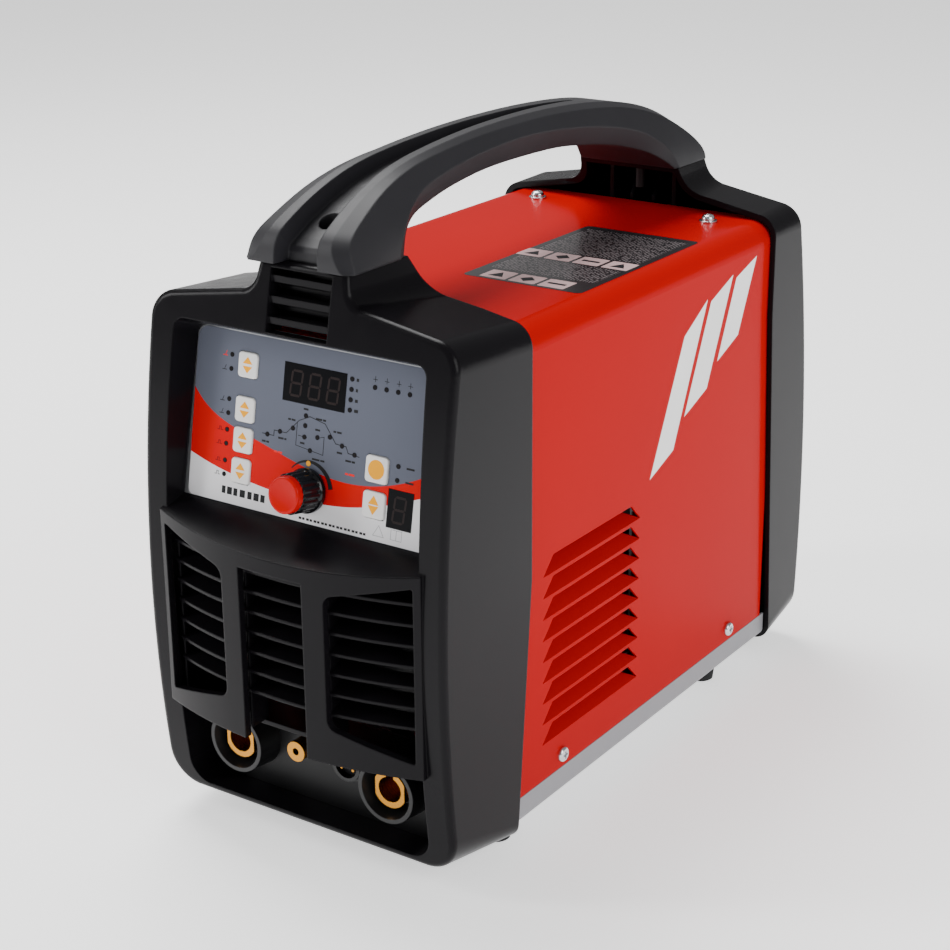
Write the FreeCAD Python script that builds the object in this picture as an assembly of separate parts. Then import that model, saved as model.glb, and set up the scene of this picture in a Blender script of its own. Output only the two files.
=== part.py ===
import FreeCAD, Part
import math
import os

"""TIG welding machine: a portable inverter power source, as separate pieces in millimetres.

Z is up, the front with its control panel faces -Y, and X = 0 is the plane of symmetry of the casing.
The origin lies on the floor, under the middle of the machine.
"""

V = FreeCAD.Vector
X, Y, Z = V(1, 0, 0), V(0, 1, 0), V(0, 0, 1)
os.makedirs("parts", exist_ok=True)

# ---- Driving dimensions -------------------------------------------------------------------
body_length = 382.0          # foremost point of the front to the rearmost point of the rear
body_width = 176.0           # over the two moulded housings
cover_top = 262.5            # floor to the top of the red cover
handle_rise = 72.0           # cover top to the highest point of the handle
foot_height = 13.0           # floor to the underside of the base tray
handle_width = 62.0          # over the side faces of the handle

sheet = 1.2                  # folded steel of the cover and of the tray
wall = 3.0                   # wall of the moulded housings
cover_inset = 3.5            # the cover's sides lie this far inside the housings
strip_height = 13.7          # grey edge of the tray that shows under the cover
fit_gap = 0.3                # named clearance between pieces that only lie side by side
running_gap = 0.05           # radial clearance of a shaft in its bearing

# ---- Control panel ------------------------------------------------------------------------
panel_half = 70.0            # half the width of the printed overlay
panel_height = 84.6          # overlay, measured up its own slope
panel_lean = 10.33           # degrees that the panel leans back
overlay_thick = 0.4
plate_thick = 2.0
recess_half = 74.0           # half width of the recess at the front face
recess_drop = 3.5            # top of the recess below the top of the cover
key_width, key_height, key_thick = 11.3, 12.0, 1.6
key_travel = 0.6
key_flange = 0.75            # rim behind the plate that keeps each key in
key_gap = 0.35               # clearance around each key in its opening
knob_radius, knob_height = 10.6, 19.0
knob_cap_radius = 8.8
shaft_radius = 3.0
light_radius = 1.15

# ---- Connector bay ------------------------------------------------------------------------
bay_half = 73.5
bay_floor, bay_roof = 18.0, 66.0
bay_back = 38.0              # depth of the connector panel behind the foremost point
socket_offset = 46.0         # each cable socket lies this far from the middle
socket_height = 45.0         # axis above the floor
socket_bore = 6.5            # radius of the plug pin bore, 35-50 mm2 size
insert_radius = 9.5
collar_radius = 16.0
collar_length = 14.0
gas_x, gas_height = -1.0, 56.5
torch_x, torch_height = 15.6, 46.0

# ---- Front nose with its three banks of slats ----------------------------------------------
slat_pitch = 10.3
post_inner, post_outer = 18.6, 28.5
window_outer = 73.0
nose_radius = 230.0          # plan radius of the nose
nose_wall = 4.0
slat_setback = 5.0           # slats lie behind the posts

# ---- Rear panel ---------------------------------------------------------------------------
rear_recess = 26.0           # rear panel in front of the rearmost point
fan_size = 119.0
fan_depth = 25.0
fan_hub = 19.0

# ---- Levels and planes worked out from the above --------------------------------------------
half = body_width / 2
front = -body_length / 2
rear = body_length / 2
cover_half = half - cover_inset
tray_floor = foot_height
strip_top = tray_floor + strip_height
recess_top = cover_top - recess_drop
lean = math.radians(panel_lean)
panel_base_z = recess_top - 4.4 - panel_height * math.cos(lean)
panel_base_y = front + 26.1
nose_top = panel_base_z - 10.0
nose_slope = 0.38            # rise of the sill per millimetre of depth
face_apex_z = 0.47 * cover_top
front_rim = front + 86.3     # rear edge of the front housing, upper part
rear_rim = rear - 51.8       # front edge of the rear housing, upper part
front_seam_z = cover_top + 29.5
rear_seam_z = cover_top + 25.0
handle_top = cover_top + handle_rise
cover_front, cover_rear = front_rim - 8.0, rear_rim + 8.0


# ---- Helpers --------------------------------------------------------------------------------
def box(x0, x1, y0, y1, z0, z1):
    return Part.makeBox(x1 - x0, y1 - y0, z1 - z0, V(x0, y0, z0))


def rod(base, axis, radius, length):
    return Part.makeCylinder(radius, length, base, axis)


def tube(base, axis, outer, inner, length):
    return rod(base, axis, outer, length).cut(rod(base, axis, inner, length))


def fuse(shapes):
    first, others = shapes[0], shapes[1:]
    result = first.fuse(others) if others else first
    return result.removeSplitter()


def group(shapes):
    return Part.makeCompound(shapes)


def outline(corners, place):
    """Closed wire through corners (u, v, radius); place turns (u, v) into a point in space."""
    count = len(corners)
    ends = []
    for i, (u, v, radius) in enumerate(corners):
        before, after = corners[i - 1], corners[(i + 1) % count]
        a = V(before[0] - u, before[1] - v, 0).normalize()
        b = V(after[0] - u, after[1] - v, 0).normalize()
        corner = V(u, v, 0)
        if radius <= 0:
            ends.append((corner, corner, corner))
            continue
        turn = a.getAngle(b) / 2
        reach = radius / math.tan(turn)
        middle = corner + (a + b).normalize() * (radius / math.sin(turn) - radius)
        ends.append((corner + a * reach, middle, corner + b * reach))
    edges = []
    for i in range(count):
        start, middle, end = (place(p.x, p.y) for p in ends[i])
        following = place(*ends[(i + 1) % count][0][:2])
        if (start - end).Length > 1e-6:
            edges.append(Part.Arc(start, middle, end).toShape())
        edges.append(Part.LineSegment(end, following).toShape())
    return Part.Wire(edges)


def prism(corners, place, along):
    return Part.Face(outline(corners, place)).extrude(along)


def rectangle(u0, u1, v0, v1, radius):
    return [(u0, v0, radius), (u1, v0, radius), (u1, v1, radius), (u0, v1, radius)]


def at_y(y):
    return lambda u, v: V(u, y, v)


def at_x(x):
    return lambda u, v: V(x, u, v)


def at_z(z):
    return lambda u, v: V(u, v, z)


def mirrored(corners):
    """Adds the left half of an outline that is given for X > 0, from the bottom to the top."""
    return corners + [(-u, v, radius) for u, v, radius in reversed(corners)]


def on_panel(u, v, height=0.0):
    """Point at u across and v up the sloping panel, height out of it."""
    y = panel_base_y + v * math.sin(lean) - height * math.cos(lean)
    return V(u, y, panel_base_z + v * math.cos(lean) + height * math.sin(lean))


panel_normal = V(0, -math.cos(lean), math.sin(lean))


def panel_block(u0, u1, v0, v1, low, high, radius=0.0):
    """Block with rounded corners that stands on the panel from height low to height high."""
    corners = rectangle(u0, u1, v0, v1, radius)
    return prism(corners, lambda u, v: on_panel(u, v, low), panel_normal * (high - low))


def panel_rod(u, v, radius, low, high):
    return rod(on_panel(u, v, low), panel_normal, radius, high - low)


def write(name, shape):
    shape.exportStep(f"parts/{name}.step")


# ---- Seat of the handle on both necks ------------------------------------------------------
handle_front_y = front + 28.5
handle_rear_y = rear - 24.5
front_seam_y = handle_front_y + 26.0
rear_seam_y = handle_rear_y - 22.0
handle_screw_radius = 2.4


# ---- Moulded housings -----------------------------------------------------------------------
def front_section(depth, inset=0.0):
    """Outline of the front housing at a depth behind the foremost point, made smaller by inset."""
    share = (depth - 14.0) / (front_rim - front - 14.0)
    side = half - inset
    low = 15.0 - 7.0 * share + inset
    shoulder = cover_top + 7.5 - 5.9 * share - inset
    neck = 25.5 + 8.5 * share - inset
    neck_foot = cover_top + 16.9 - 5.4 * share - inset
    neck_top = front_seam_z - inset
    corners = [(side, low, 20.0 - 15.0 * share - inset),
               (side, shoulder, 15.0 - 3.0 * share - inset),
               (neck, neck_foot, 8.0 + 6.0 * share),
               (neck - 3.0, neck_top, 0)]
    return outline(mirrored(corners), at_y(front + depth))


def front_face_y(z):
    return front + 14.0 + (z - face_apex_z) ** 2 / 1450


def rear_face_y(z):
    return rear - (z - 0.325 * cover_top) ** 2 / 1600


def curved_edge(face_y, offset, low, high):
    """Circular arc in the side view that follows a housing's curved face."""
    heights = (low, (low + high) / 2, high)
    points = [V(0, face_y(z) + offset, z) for z in heights]
    return Part.Arc(*points).toShape()


def side_block(edge, far_points, width):
    """Solid of the given width between an arc in the side view and a line through far points."""
    start, end = edge.Vertexes[0].Point, edge.Vertexes[-1].Point
    path = [end] + [V(0, y, z) for y, z in far_points] + [start]
    lines = [Part.LineSegment(a, b).toShape() for a, b in zip(path, path[1:])]
    face = Part.Face(Part.Wire([edge] + lines))
    face.translate(V(-width, 0, 0))
    return face.extrude(V(2 * width, 0, 0))


def front_zone(offset, width=half + 40):
    """All that lies behind the curved front face, pushed back by offset, up to the rear edge."""
    edge = curved_edge(front_face_y, offset, -20.0, cover_top + 60)
    rim_low = front_rim - 14.5
    neck_rim = front_rim - 13.5
    far = [(neck_rim - 20, cover_top + 60), (neck_rim, front_seam_z), (front_rim, cover_top + 6.5),
           (front_rim, 0.54 * cover_top), (rim_low, -20.0)]
    return side_block(edge, far, width)


def nose_block(setback, top_drop, low):
    """Nose that bulges out of the front, cut off above by the sloping sill."""
    centre = V(0, front + nose_radius + setback, low)
    high = nose_top + 30.0
    block = rod(centre, Z, nose_radius, high - low)
    block = block.common(box(-bay_half - 3, bay_half + 3, front - 5, panel_base_y + 0.2, low, high))
    level = nose_top - top_drop
    reach = 60.0
    above = [(front - 20, level - 20 * nose_slope, 0), (front + reach, level + reach * nose_slope, 0),
             (front + reach, high + 30, 0), (front - 20, high + 30, 0)]
    return block.cut(prism(above, at_x(-half), V(body_width, 0, 0)))


def recess_funnel(grow, back_height):
    """Tapered space between the front face and the panel, widened by grow."""
    def section(depth):
        across = recess_half - 0.155 * (depth - 16.0) + grow
        top = recess_top - 0.43 * (depth - 27.0) + grow
        return outline(rectangle(-across, across, nose_top - 12 - grow, top, 6.0), at_y(front + depth))
    funnel = Part.makeLoft([section(-5.0), section(60.0)], True, True)
    behind = panel_block(-half, half, -90, 160, -60, back_height)
    return funnel.cut(behind)


def window_corners(side):
    """Corners of one side window in the front view; its top and bottom slope to the middle."""
    low, high = bay_roof + 7.0, nose_top + 5.0
    corners = [(post_outer + 1.5, low + 11.0, 6.0), (window_outer, low, 1.0),
               (window_outer, high - 6.0, 1.0), (post_outer + 1.5, high - 16.5, 6.0)]
    return [(side * u, v, radius) for u, v, radius in corners]


mouth_half = 17.5            # half width of the mouth in the front of the neck


def neck_slats():
    """Two cheeks and a back behind the mouth of the neck, and two rows of blades between them."""
    low, high = recess_top + 0.5, front_seam_z - wall + 0.5
    depth = front_face_y(high) + 16.0
    cheeks = [box(x - 1.0, x + 1.0, front, depth, low, high) for x in (-mouth_half - 1, mouth_half + 1)]
    pieces = [cheek.common(front_zone(0.6)) for cheek in cheeks]
    pieces.append(box(-mouth_half - 2, mouth_half + 2, depth - 0.5, depth + 1.0, low, high))
    reach = mouth_half + 0.5
    for i in range(3):
        z = front_seam_z - 6.5 - 9.3 * i
        y = front_face_y(z)
        pieces.append(box(-reach, reach, y + 1.0, y + 7.0, z - 3.2, z))
    for i in range(2):
        z = front_seam_z - 12.0 - 9.3 * i
        y = front_face_y(z)
        pieces.append(box(-reach, reach, y + 8.0, y + 14.0, z - 2.4, z))
    return pieces


def make_front_housing():
    outer = Part.makeLoft([front_section(-2.0), front_section(92.0)], True, True)
    cavity = Part.makeLoft([front_section(-2.0, wall), front_section(92.0, wall)], True, True)
    body = outer.common(front_zone(0.0))
    face_edges = [e for e in body.Edges if e.Length > 3 and on_front_rim(e)]
    body = body.makeFillet(3.2, face_edges)
    hollow = cavity.common(front_zone(wall, half + 50))
    body = body.cut(hollow)
    liner = recess_funnel(wall, -overlay_thick).common(front_zone(0.5))
    bay_outer = prism(rectangle(-bay_half - 2, bay_half + 2, bay_floor - 2.5, bay_roof + 2.5, 6.0),
                      at_y(front), V(0, bay_back, 0)).common(front_zone(0.5))
    body = body.fuse([liner, bay_outer])
    body = body.cut(recess_funnel(0.0, -overlay_thick))
    mouth = prism(rectangle(-mouth_half, mouth_half, recess_top + 1.0, front_seam_z - 3.0, 0),
                  at_y(front - 5), V(0, 60, 0))
    body = body.cut(mouth)
    bay = prism([(-bay_half, bay_floor, 12.0), (bay_half, bay_floor, 12.0), (bay_half, bay_roof, 4.0),
                 (-bay_half, bay_roof, 4.0)], at_y(front - 10), V(0, bay_back + 10, 0))
    body = body.cut(bay)
    grille_gap = box(-bay_half, bay_half, front - 10, panel_base_y - 0.5, bay_roof + 2.5, nose_top - 6)
    body = body.cut(grille_gap)
    nose = nose_block(0.0, 0.0, bay_roof - 0.5)
    nose = nose.cut(nose_block(nose_wall, wall, bay_roof - 10.0))
    for side in (1, -1):
        window = prism(window_corners(side), at_y(front - 5), V(0, 60, 0))
        nose = nose.cut(window)
    middle = prism(rectangle(-post_inner, post_inner, bay_roof - 5, nose_top - 7.5, 0.0), at_y(front - 5),
                   V(0, 60, 0))
    nose = nose.cut(middle)
    body = body.fuse([nose] + neck_slats()).removeSplitter()
    return body.cut(rod(V(0, front_seam_y, front_seam_z - 30), Z, handle_screw_radius, 40))


def on_front_rim(edge):
    """True for the edges where the curved front face meets the sides of the housing."""
    samples = [edge.valueAt(edge.FirstParameter + t * (edge.LastParameter - edge.FirstParameter))
               for t in (0.05, 0.5, 0.95)]
    return all(abs(p.y - front_face_y(p.z)) < 0.3 for p in samples)



def rear_section(depth, inset=0.0):
    """Outline of the rear housing at a depth in front of the rearmost point."""
    share = depth / 51.8
    side = half - inset
    low = 13.0 - 5.0 * share + inset
    shoulder = cover_top + 3.0 - 1.4 * share - inset
    neck = 32.5 + 1.5 * share - inset
    neck_foot = cover_top + 13.5 - 2.0 * share - inset
    corners = [(side, low, 18.0 - 11.0 * share - inset),
               (side, shoulder, 14.0 - 2.0 * share - inset),
               (neck, neck_foot, 12.0 + 2.0 * share),
               (neck - 3.0, rear_seam_z - inset, 0)]
    return outline(mirrored(corners), at_y(rear - depth))


def rear_zone(offset, width=half + 40):
    """All that lies in front of the curved rear face, pushed forward by offset, up to the rim."""
    edge = curved_edge(rear_face_y, -offset, -20.0, cover_top + 60)
    far = [(rear_rim - 28, cover_top + 60), (rear_rim - 8, rear_seam_z), (rear_rim, cover_top + 8),
           (rear_rim, 0.8 * cover_top), (rear_rim + 16, -20.0)]
    return side_block(edge, far, width)


rear_open_half, rear_open_low, rear_open_high = 66.0, 32.0, cover_top - 24.0


def make_rear_housing():
    outer = Part.makeLoft([rear_section(-2.0), rear_section(62.0)], True, True)
    cavity = Part.makeLoft([rear_section(-2.0, wall), rear_section(62.0, wall)], True, True)
    body = outer.common(rear_zone(0.0))
    rim = [e for e in body.Edges if e.Length > 3 and on_rear_rim(e)]
    body = body.makeFillet(3.2, rim)
    body = body.cut(cavity.common(rear_zone(wall, half + 50)))
    opening = rectangle(-rear_open_half, rear_open_half, rear_open_low, rear_open_high, 8.0)
    liner_outline = rectangle(-rear_open_half - wall, rear_open_half + wall, rear_open_low - wall,
                              rear_open_high + wall, 11.0)
    liner = prism(liner_outline, at_y(rear - rear_recess), V(0, 40, 0)).common(rear_zone(0.5))
    ribs = [box(x - 1.25, x + 1.25, rear_rim - 30, rear, cover_top - 4, rear_seam_z - 1)
            for x in (-20.0, 20.0)]
    gusset = [(rear_rim + 6, cover_top + 1, 0), (rear - 10, cover_top + 1, 0), (rear - 10, rear_seam_z, 0),
              (rear - 26, rear_seam_z, 0)]
    ribs += [prism(gusset, at_x(x - 1.0), V(2.0, 0, 0)) for x in (-7.0, 7.0)]
    behind_cover = box(-half, half, cover_rear + fit_gap, rear, 0, cover_top + 60)
    ribs = [rib.common(cavity.common(rear_zone(1.0))).common(behind_cover) for rib in ribs]
    body = body.fuse([liner] + ribs)
    body = body.cut(prism(opening, at_y(rear - 60), V(0, 80, 0)))
    body = body.cut(rod(V(0, rear_seam_y, rear_seam_z - 30), Z, handle_screw_radius, 40))
    return body.removeSplitter()


def on_rear_rim(edge):
    """True for the edges where the curved rear face meets the sides of the housing."""
    samples = [edge.valueAt(edge.FirstParameter + t * (edge.LastParameter - edge.FirstParameter))
               for t in (0.05, 0.5, 0.95)]
    return all(abs(p.y - rear_face_y(p.z)) < 0.3 for p in samples)


# ---- Handle ---------------------------------------------------------------------------------
handle_half = handle_width / 2
# One row for each station from the front foot over the top to the rear foot. A row holds four
# points of the right half as (share of the half width, y, height in shares of the rise above
# the seam): edge of the crown, upper edge, crease along the side, lower edge.
handle_rows = [
    ((0.871, -160.0, 0.0), (1.0, -156.5, 0.0), (1.0, -124.0, 0.0), (0.935, -119.0, 0.0)),
    ((0.677, -159.5, 0.165), (0.919, -156.0, 0.165), (0.984, -121.0, 0.188), (0.903, -116.0, 0.188)),
    ((0.597, -156.5, 0.306), (0.848, -153.5, 0.294), (0.952, -117.0, 0.329), (0.839, -111.0, 0.294)),
    ((0.565, -150.0, 0.416), (0.79, -147.5, 0.4), (0.897, -111.0, 0.459), (0.742, -102.0, 0.365)),
    ((0.532, -140.0, 0.541), (0.742, -138.0, 0.518), (0.823, -103.0, 0.553), (0.661, -90.0, 0.412)),
    ((0.484, -126.0, 0.682), (0.677, -124.5, 0.659), (0.758, -94.0, 0.619), (0.597, -76.0, 0.46)),
    ((0.445, -108.0, 0.812), (0.606, -107.0, 0.781), (0.71, -82.0, 0.671), (0.548, -62.0, 0.5)),
    ((0.406, -88.0, 0.894), (0.548, -88.0, 0.854), (0.661, -66.0, 0.72), (0.516, -48.0, 0.532)),
    ((0.374, -64.0, 0.949), (0.503, -64.0, 0.9), (0.629, -48.0, 0.765), (0.484, -32.0, 0.555)),
    ((0.345, -38.0, 0.986), (0.477, -38.0, 0.934), (0.606, -28.0, 0.797), (0.468, -16.0, 0.564)),
    ((0.326, -9.0, 1.0), (0.465, -9.0, 0.944), (0.597, -6.0, 0.814), (0.458, 0.0, 0.564)),
    ((0.319, 20.0, 0.993), (0.465, 20.0, 0.938), (0.603, 18.0, 0.796), (0.458, 18.0, 0.56)),
    ((0.326, 46.0, 0.967), (0.481, 46.0, 0.911), (0.623, 42.0, 0.751), (0.471, 38.0, 0.541)),
    ((0.348, 70.0, 0.925), (0.513, 70.0, 0.869), (0.655, 64.0, 0.692), (0.5, 58.0, 0.493)),
    ((0.384, 92.0, 0.862), (0.561, 92.0, 0.806), (0.71, 84.0, 0.613), (0.548, 77.0, 0.434)),
    ((0.439, 112.0, 0.768), (0.642, 111.5, 0.709), (0.781, 100.0, 0.517), (0.613, 94.0, 0.351)),
    ((0.506, 130.0, 0.632), (0.745, 129.0, 0.57), (0.865, 113.0, 0.383), (0.726, 108.0, 0.255)),
    ((0.577, 146.0, 0.443), (0.855, 144.0, 0.389), (0.942, 122.0, 0.245), (0.839, 117.0, 0.16)),
    ((0.645, 157.0, 0.245), (0.945, 155.0, 0.209), (0.984, 127.0, 0.117), (0.919, 123.0, 0.074)),
    ((0.871, 163.5, 0.0), (1.0, 160.5, 0.0), (1.0, 131.0, 0.0), (0.968, 127.0, 0.0))]
# Half width at the top and depth of the tapering channel, for the first fourteen stations.
channel_rows = [(14.0, 9.0), (13.6, 9.0), (13.2, 9.0), (12.8, 9.0), (12.2, 8.8), (11.2, 8.3),
                (10.0, 7.6), (8.8, 6.8), (7.6, 6.0), (6.4, 5.2), (5.2, 4.2), (3.9, 3.1),
                (2.4, 2.0), (0.8, 0.7)]
handle_y_scale = (handle_rear_y - handle_front_y) / 323.5


def handle_point(share, y, rise):
    """Point on the right half of the handle; the seam drops evenly from the front foot to the rear."""
    blend = (y + 160.0) / 323.5
    blend = min(1.0, max(0.0, 2.0 * blend - 0.5))
    seam = front_seam_z + (rear_seam_z - front_seam_z) * blend
    return V(share * handle_half, handle_front_y + (y + 160.0) * handle_y_scale,
             seam + rise * (handle_top - seam))


def ring(points):
    """Closed wire through points of the right half and their mirror images."""
    left = [V(-p.x, p.y, p.z) for p in reversed(points)]
    return Part.makePolygon(points + left + [points[0]])


def handle_channel():
    """The hollow between the two rails of the handle: it starts open and runs out at the top."""
    crown = [handle_point(*row[0]) for row in handle_rows[:len(channel_rows) + 1]]
    first_half, first_depth = channel_rows[0]
    rings = [ring([V(first_half, crown[0].y - 12, front_seam_z - 3),
                   V(0.8 * first_half, crown[0].y + first_depth, front_seam_z - 3)])]
    for i, (half_wide, depth) in enumerate(channel_rows):
        along = crown[i + 1] - crown[max(0, i - 1)]
        out = V(0, -along.z, along.y).normalize()
        high = crown[i] + out * 12
        low = crown[i] - out * depth
        rings.append(ring([V(half_wide, high.y, high.z), V(0.8 * half_wide, low.y, low.z)]))
    return Part.makeLoft(rings, True, True)


def make_handle():
    body = Part.makeLoft([ring([handle_point(*p) for p in row]) for row in handle_rows], True, False)
    body = body.cut(handle_channel())
    for y, z in ((front_seam_y, front_seam_z), (rear_seam_y, rear_seam_z)):
        body = body.cut(rod(V(0, y, z - 1), Z, handle_screw_radius + fit_gap, 100))
        body = body.cut(rod(V(0, y, z + 8), Z, 5.2, 100))
    return body


# ---- Cover and base -------------------------------------------------------------------------
louvre_count, louvre_pitch = 9, 11.2
louvre_length, louvre_height = 92.5, 9.2
louvre_slant = 9.1           # the short upper edge starts this far inside the lower one
louvre_tilt = math.radians(57)
louvre_front = front + 101.5
louvre_top = 0.554 * cover_top
side_screw_ys = (front + 119.7, rear - 84.6)
side_screw_z = strip_top + 7.5
top_screw_x, top_screw_y = 54.8, rear_rim - 15.8
screw_radius = 2.0
tray_front, tray_rear = front_rim - 12.5, rear_rim + 13.0


def u_channel(side, top, low, radius, y0, y1):
    corners = [(-side, low, 0), (side, low, 0), (side, top, radius), (-side, top, radius)]
    return prism(corners, at_y(y0), V(0, y1 - y0, 0))


def louvre_shape():
    """Outline of one louvre as (along, up) corners: a trapezoid whose lower edge is its hinge."""
    y0, y1 = louvre_front, louvre_front + louvre_length
    return [(y0, 0, 0), (y1, 0, 0), (y1 - louvre_slant, louvre_height, 0),
            (y0 + louvre_slant, louvre_height, 0)]


def louvre_cut(side, z):
    corners = [(y, z + up, 0) for y, up, r in louvre_shape()]
    return prism(corners, at_x(side * (cover_half - 3)), V(side * 4, 0, 0))


def louvre_flap(side, z):
    """Flap that stays joined to the sheet at its lower edge and leans into the machine."""
    def leaned(along, up):
        return V(side * (cover_half - up * math.sin(louvre_tilt)), along, z + up * math.cos(louvre_tilt))
    inwards = V(-side * math.cos(louvre_tilt), 0, -math.sin(louvre_tilt))
    return prism(louvre_shape(), leaned, inwards * sheet)


def make_cover():
    outer = u_channel(cover_half, cover_top, strip_top + fit_gap, 12.0, cover_front, cover_rear)
    inner = u_channel(cover_half - sheet, cover_top - sheet, strip_top - 5, 12.0 - sheet,
                      cover_front - 1, cover_rear + 1)
    body = outer.cut(inner)
    slots, flaps = [], []
    for side in (1, -1):
        for i in range(louvre_count):
            z = louvre_top - louvre_height - i * louvre_pitch
            slots.append(louvre_cut(side, z))
            flaps.append(louvre_flap(side, z))
        for y in side_screw_ys:
            slots.append(rod(V(side * (cover_half - 5), y, side_screw_z), X * side, screw_radius + fit_gap, 8))
        slots.append(rod(V(side * top_screw_x, top_screw_y, cover_top - 5), Z, screw_radius + fit_gap, 8))
    return body.cut(slots).fuse(flaps).removeSplitter()


def make_base_tray():
    outer = prism([(-cover_half, tray_floor, 3.5), (cover_half, tray_floor, 3.5), (cover_half, strip_top, 0),
                   (-cover_half, strip_top, 0)], at_y(tray_front), V(0, tray_rear - tray_front, 0))
    inner = prism([(-cover_half + sheet, tray_floor + sheet, 2.3), (cover_half - sheet, tray_floor + sheet, 2.3),
                   (cover_half - sheet, strip_top + 1, 0), (-cover_half + sheet, strip_top + 1, 0)],
                  at_y(tray_front - 1), V(0, tray_rear - tray_front + 2, 0))
    body = outer.cut(inner)
    flange_x = cover_half - sheet - 0.1
    parts = [body]
    holes = []
    for side in (1, -1):
        near, far = sorted((side * (flange_x - sheet), side * cover_half))
        parts.append(box(near, far, tray_front + 8, tray_rear - 8, strip_top - sheet, strip_top))
        near, far = sorted((side * (flange_x - sheet), side * flange_x))
        parts.append(box(near, far, tray_front + 8, tray_rear - 8, strip_top - sheet, strip_top + 18))
        for y in side_screw_ys:
            holes.append(rod(V(side * (cover_half - 8), y, side_screw_z), X * side, screw_radius, 12))
        for y in foot_ys:
            holes.append(rod(V(side * foot_x, y, tray_floor - 1), Z, screw_radius, 5))
    for y, away in ((tray_front, -1), (tray_rear, 1)):
        inside = y - away * sheet
        y0, y1 = sorted((y, inside))
        parts.append(box(-62, 62, y0, y1, tray_floor, tongue_z + sheet))
        y0, y1 = sorted((inside, y + away * 26))
        parts.append(box(-62, 62, y0, y1, tongue_z, tongue_z + sheet))
    return fuse(parts).cut(holes)


foot_x = 68.0
foot_ys = (front + 84.5, rear - 84.5)
foot_radius = 9.0
tongue_z = 21.0


def make_feet():
    feet = []
    for x in (-foot_x, foot_x):
        for y in foot_ys:
            foot = Part.makeCone(foot_radius - 1.5, foot_radius, foot_height, V(x, y, 0), Z)
            foot = foot.cut(rod(V(x, y, -1), Z, 3.8, 6.0))
            foot = foot.cut(rod(V(x, y, 0), Z, screw_radius, foot_height + 1))
            feet.append(foot)
    return group(feet)


def pan_screw(base, axis, head_radius, head_height, shank, radius=screw_radius):
    """Pan-head screw whose head starts at base and whose shank goes the other way."""
    head = rod(base, axis, head_radius, head_height)
    head = head.makeFillet(head_height * 0.6, [head.Edges[0] if far_end(head.Edges[0], base, axis) else
                                                 head.Edges[2]])
    socket = rod(base + axis * (head_height * 0.45), axis, head_radius * 0.4, head_height)
    return head.cut(socket).fuse(rod(base, axis * -1, radius, shank)).removeSplitter()


def far_end(edge, base, axis):
    return (edge.CenterOfMass - base).dot(axis) > 1e-3


def make_side_screws():
    return group([pan_screw(V(side * cover_half, y, side_screw_z), X * side, 4.0, 2.4, 9.0)
                  for side in (1, -1) for y in side_screw_ys])


def make_top_screws():
    screws = []
    for side in (1, -1):
        base = V(side * top_screw_x, top_screw_y, cover_top)
        washer = tube(base, Z, 5.0, 2.2, 1.0)
        screws.append(washer)
        screws.append(pan_screw(base + Z * 1.0, Z, 3.6, 3.0, 9.0))
    return group(screws)


def make_foot_screws():
    return group([pan_screw(V(x, y, 5.0), Z * -1, 3.4, 2.0, tray_floor)
                  for x in (-foot_x, foot_x) for y in foot_ys])


def make_handle_screws():
    screws = []
    for y, z in ((front_seam_y, front_seam_z), (rear_seam_y, rear_seam_z)):
        screws.append(pan_screw(V(0, y, z + 8.0), Z, 4.6, 3.2, 24.0, handle_screw_radius))
    return group(screws)



# ---- Front louvre insert --------------------------------------------------------------------
def make_front_louvres():
    """Slats that run behind both posts, each sloping down to the front, on upright dividers."""
    axis_y = front + nose_radius
    reach = math.degrees(math.asin((bay_half - 1.0) / nose_radius))
    front_y = front + slat_setback
    count = int((nose_top - 12.0 - (bay_roof + 12.0)) / slat_pitch) + 1
    slats = []
    for i in range(count):
        z = nose_top - 10.0 - i * slat_pitch
        blade = [(front_y, z, 0), (front_y + 13.0, z + 4.6, 0), (front_y + 13.0, z + 3.0, 0),
                 (front_y, z - 1.6, 0)]
        face = Part.Face(outline(blade, at_x(0)))
        face.rotate(V(0, axis_y, 0), Z, -reach)
        slats.append(face.revolve(V(0, axis_y, 0), Z, 2 * reach))
    low, high = bay_roof + 2.5, nose_top - 6.0
    ring = rod(V(0, axis_y, low), Z, nose_radius - slat_setback - 1.0, high - low)
    ring = ring.cut(rod(V(0, axis_y, low), Z, nose_radius - slat_setback - 13.0, high - low))
    stands = []
    for side in (1, -1):
        for x in (post_inner + 0.5, post_outer - 1.5, bay_half - 4.2):
            near, far = sorted((side * x, side * (x + 1.6)))
            stands.append(ring.common(box(near, far, front, front + 60, low, high)))
    return fuse(slats + stands)


# ---- Control panel --------------------------------------------------------------------------
key_places = {
    "cycle_key": (-38.1, 67.7), "current_key": (-38.1, 46.6), "start_key": (-38.1, 31.9),
    "pulse_key": (-38.1, 17.1), "channel_key": (40.1, 33.0), "store_key": (40.1, 16.6),
}
round_keys = ("channel_key", "store_key")
round_key_size = 12.4
main_window = (-16.7, 19.3, 55.1, 73.2)
channel_window = (47.4, 61.4, 8.0, 25.9)
knob_u, knob_v = 2.5, 16.0
board_depth = 13.0
board_thick = 1.6


def light_places():
    """Middle of every indicator light on the panel, in rows and pairs."""
    places = []
    for name in ("cycle_key", "current_key", "start_key", "pulse_key"):
        v = key_places[name][1]
        places += [(-48.3, v + 3.4), (-48.3, v - 3.3)]
    places += [(22.2, 57.0 + 4.75 * i) for i in range(4)]
    places += [(35.1 + 6.4 * i, 69.6) for i in range(4)]
    places += [(51.5, 30.2), (51.5, 36.6)]
    rising = [(-24.0, 37.5), (-16.7, 40.1), (-9.3, 43.0), (-2.3, 50.0), (5.2, 41.2)]
    falling = [(-2.3, 45.4), (-2.3, 40.1), (1.5, 34.4), (12.3, 42.7), (19.5, 39.9), (26.9, 37.1)]
    return places + rising + falling


def key_half_sizes(name):
    if name in round_keys:
        return round_key_size / 2, round_key_size / 2
    return key_width / 2, key_height / 2


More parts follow.
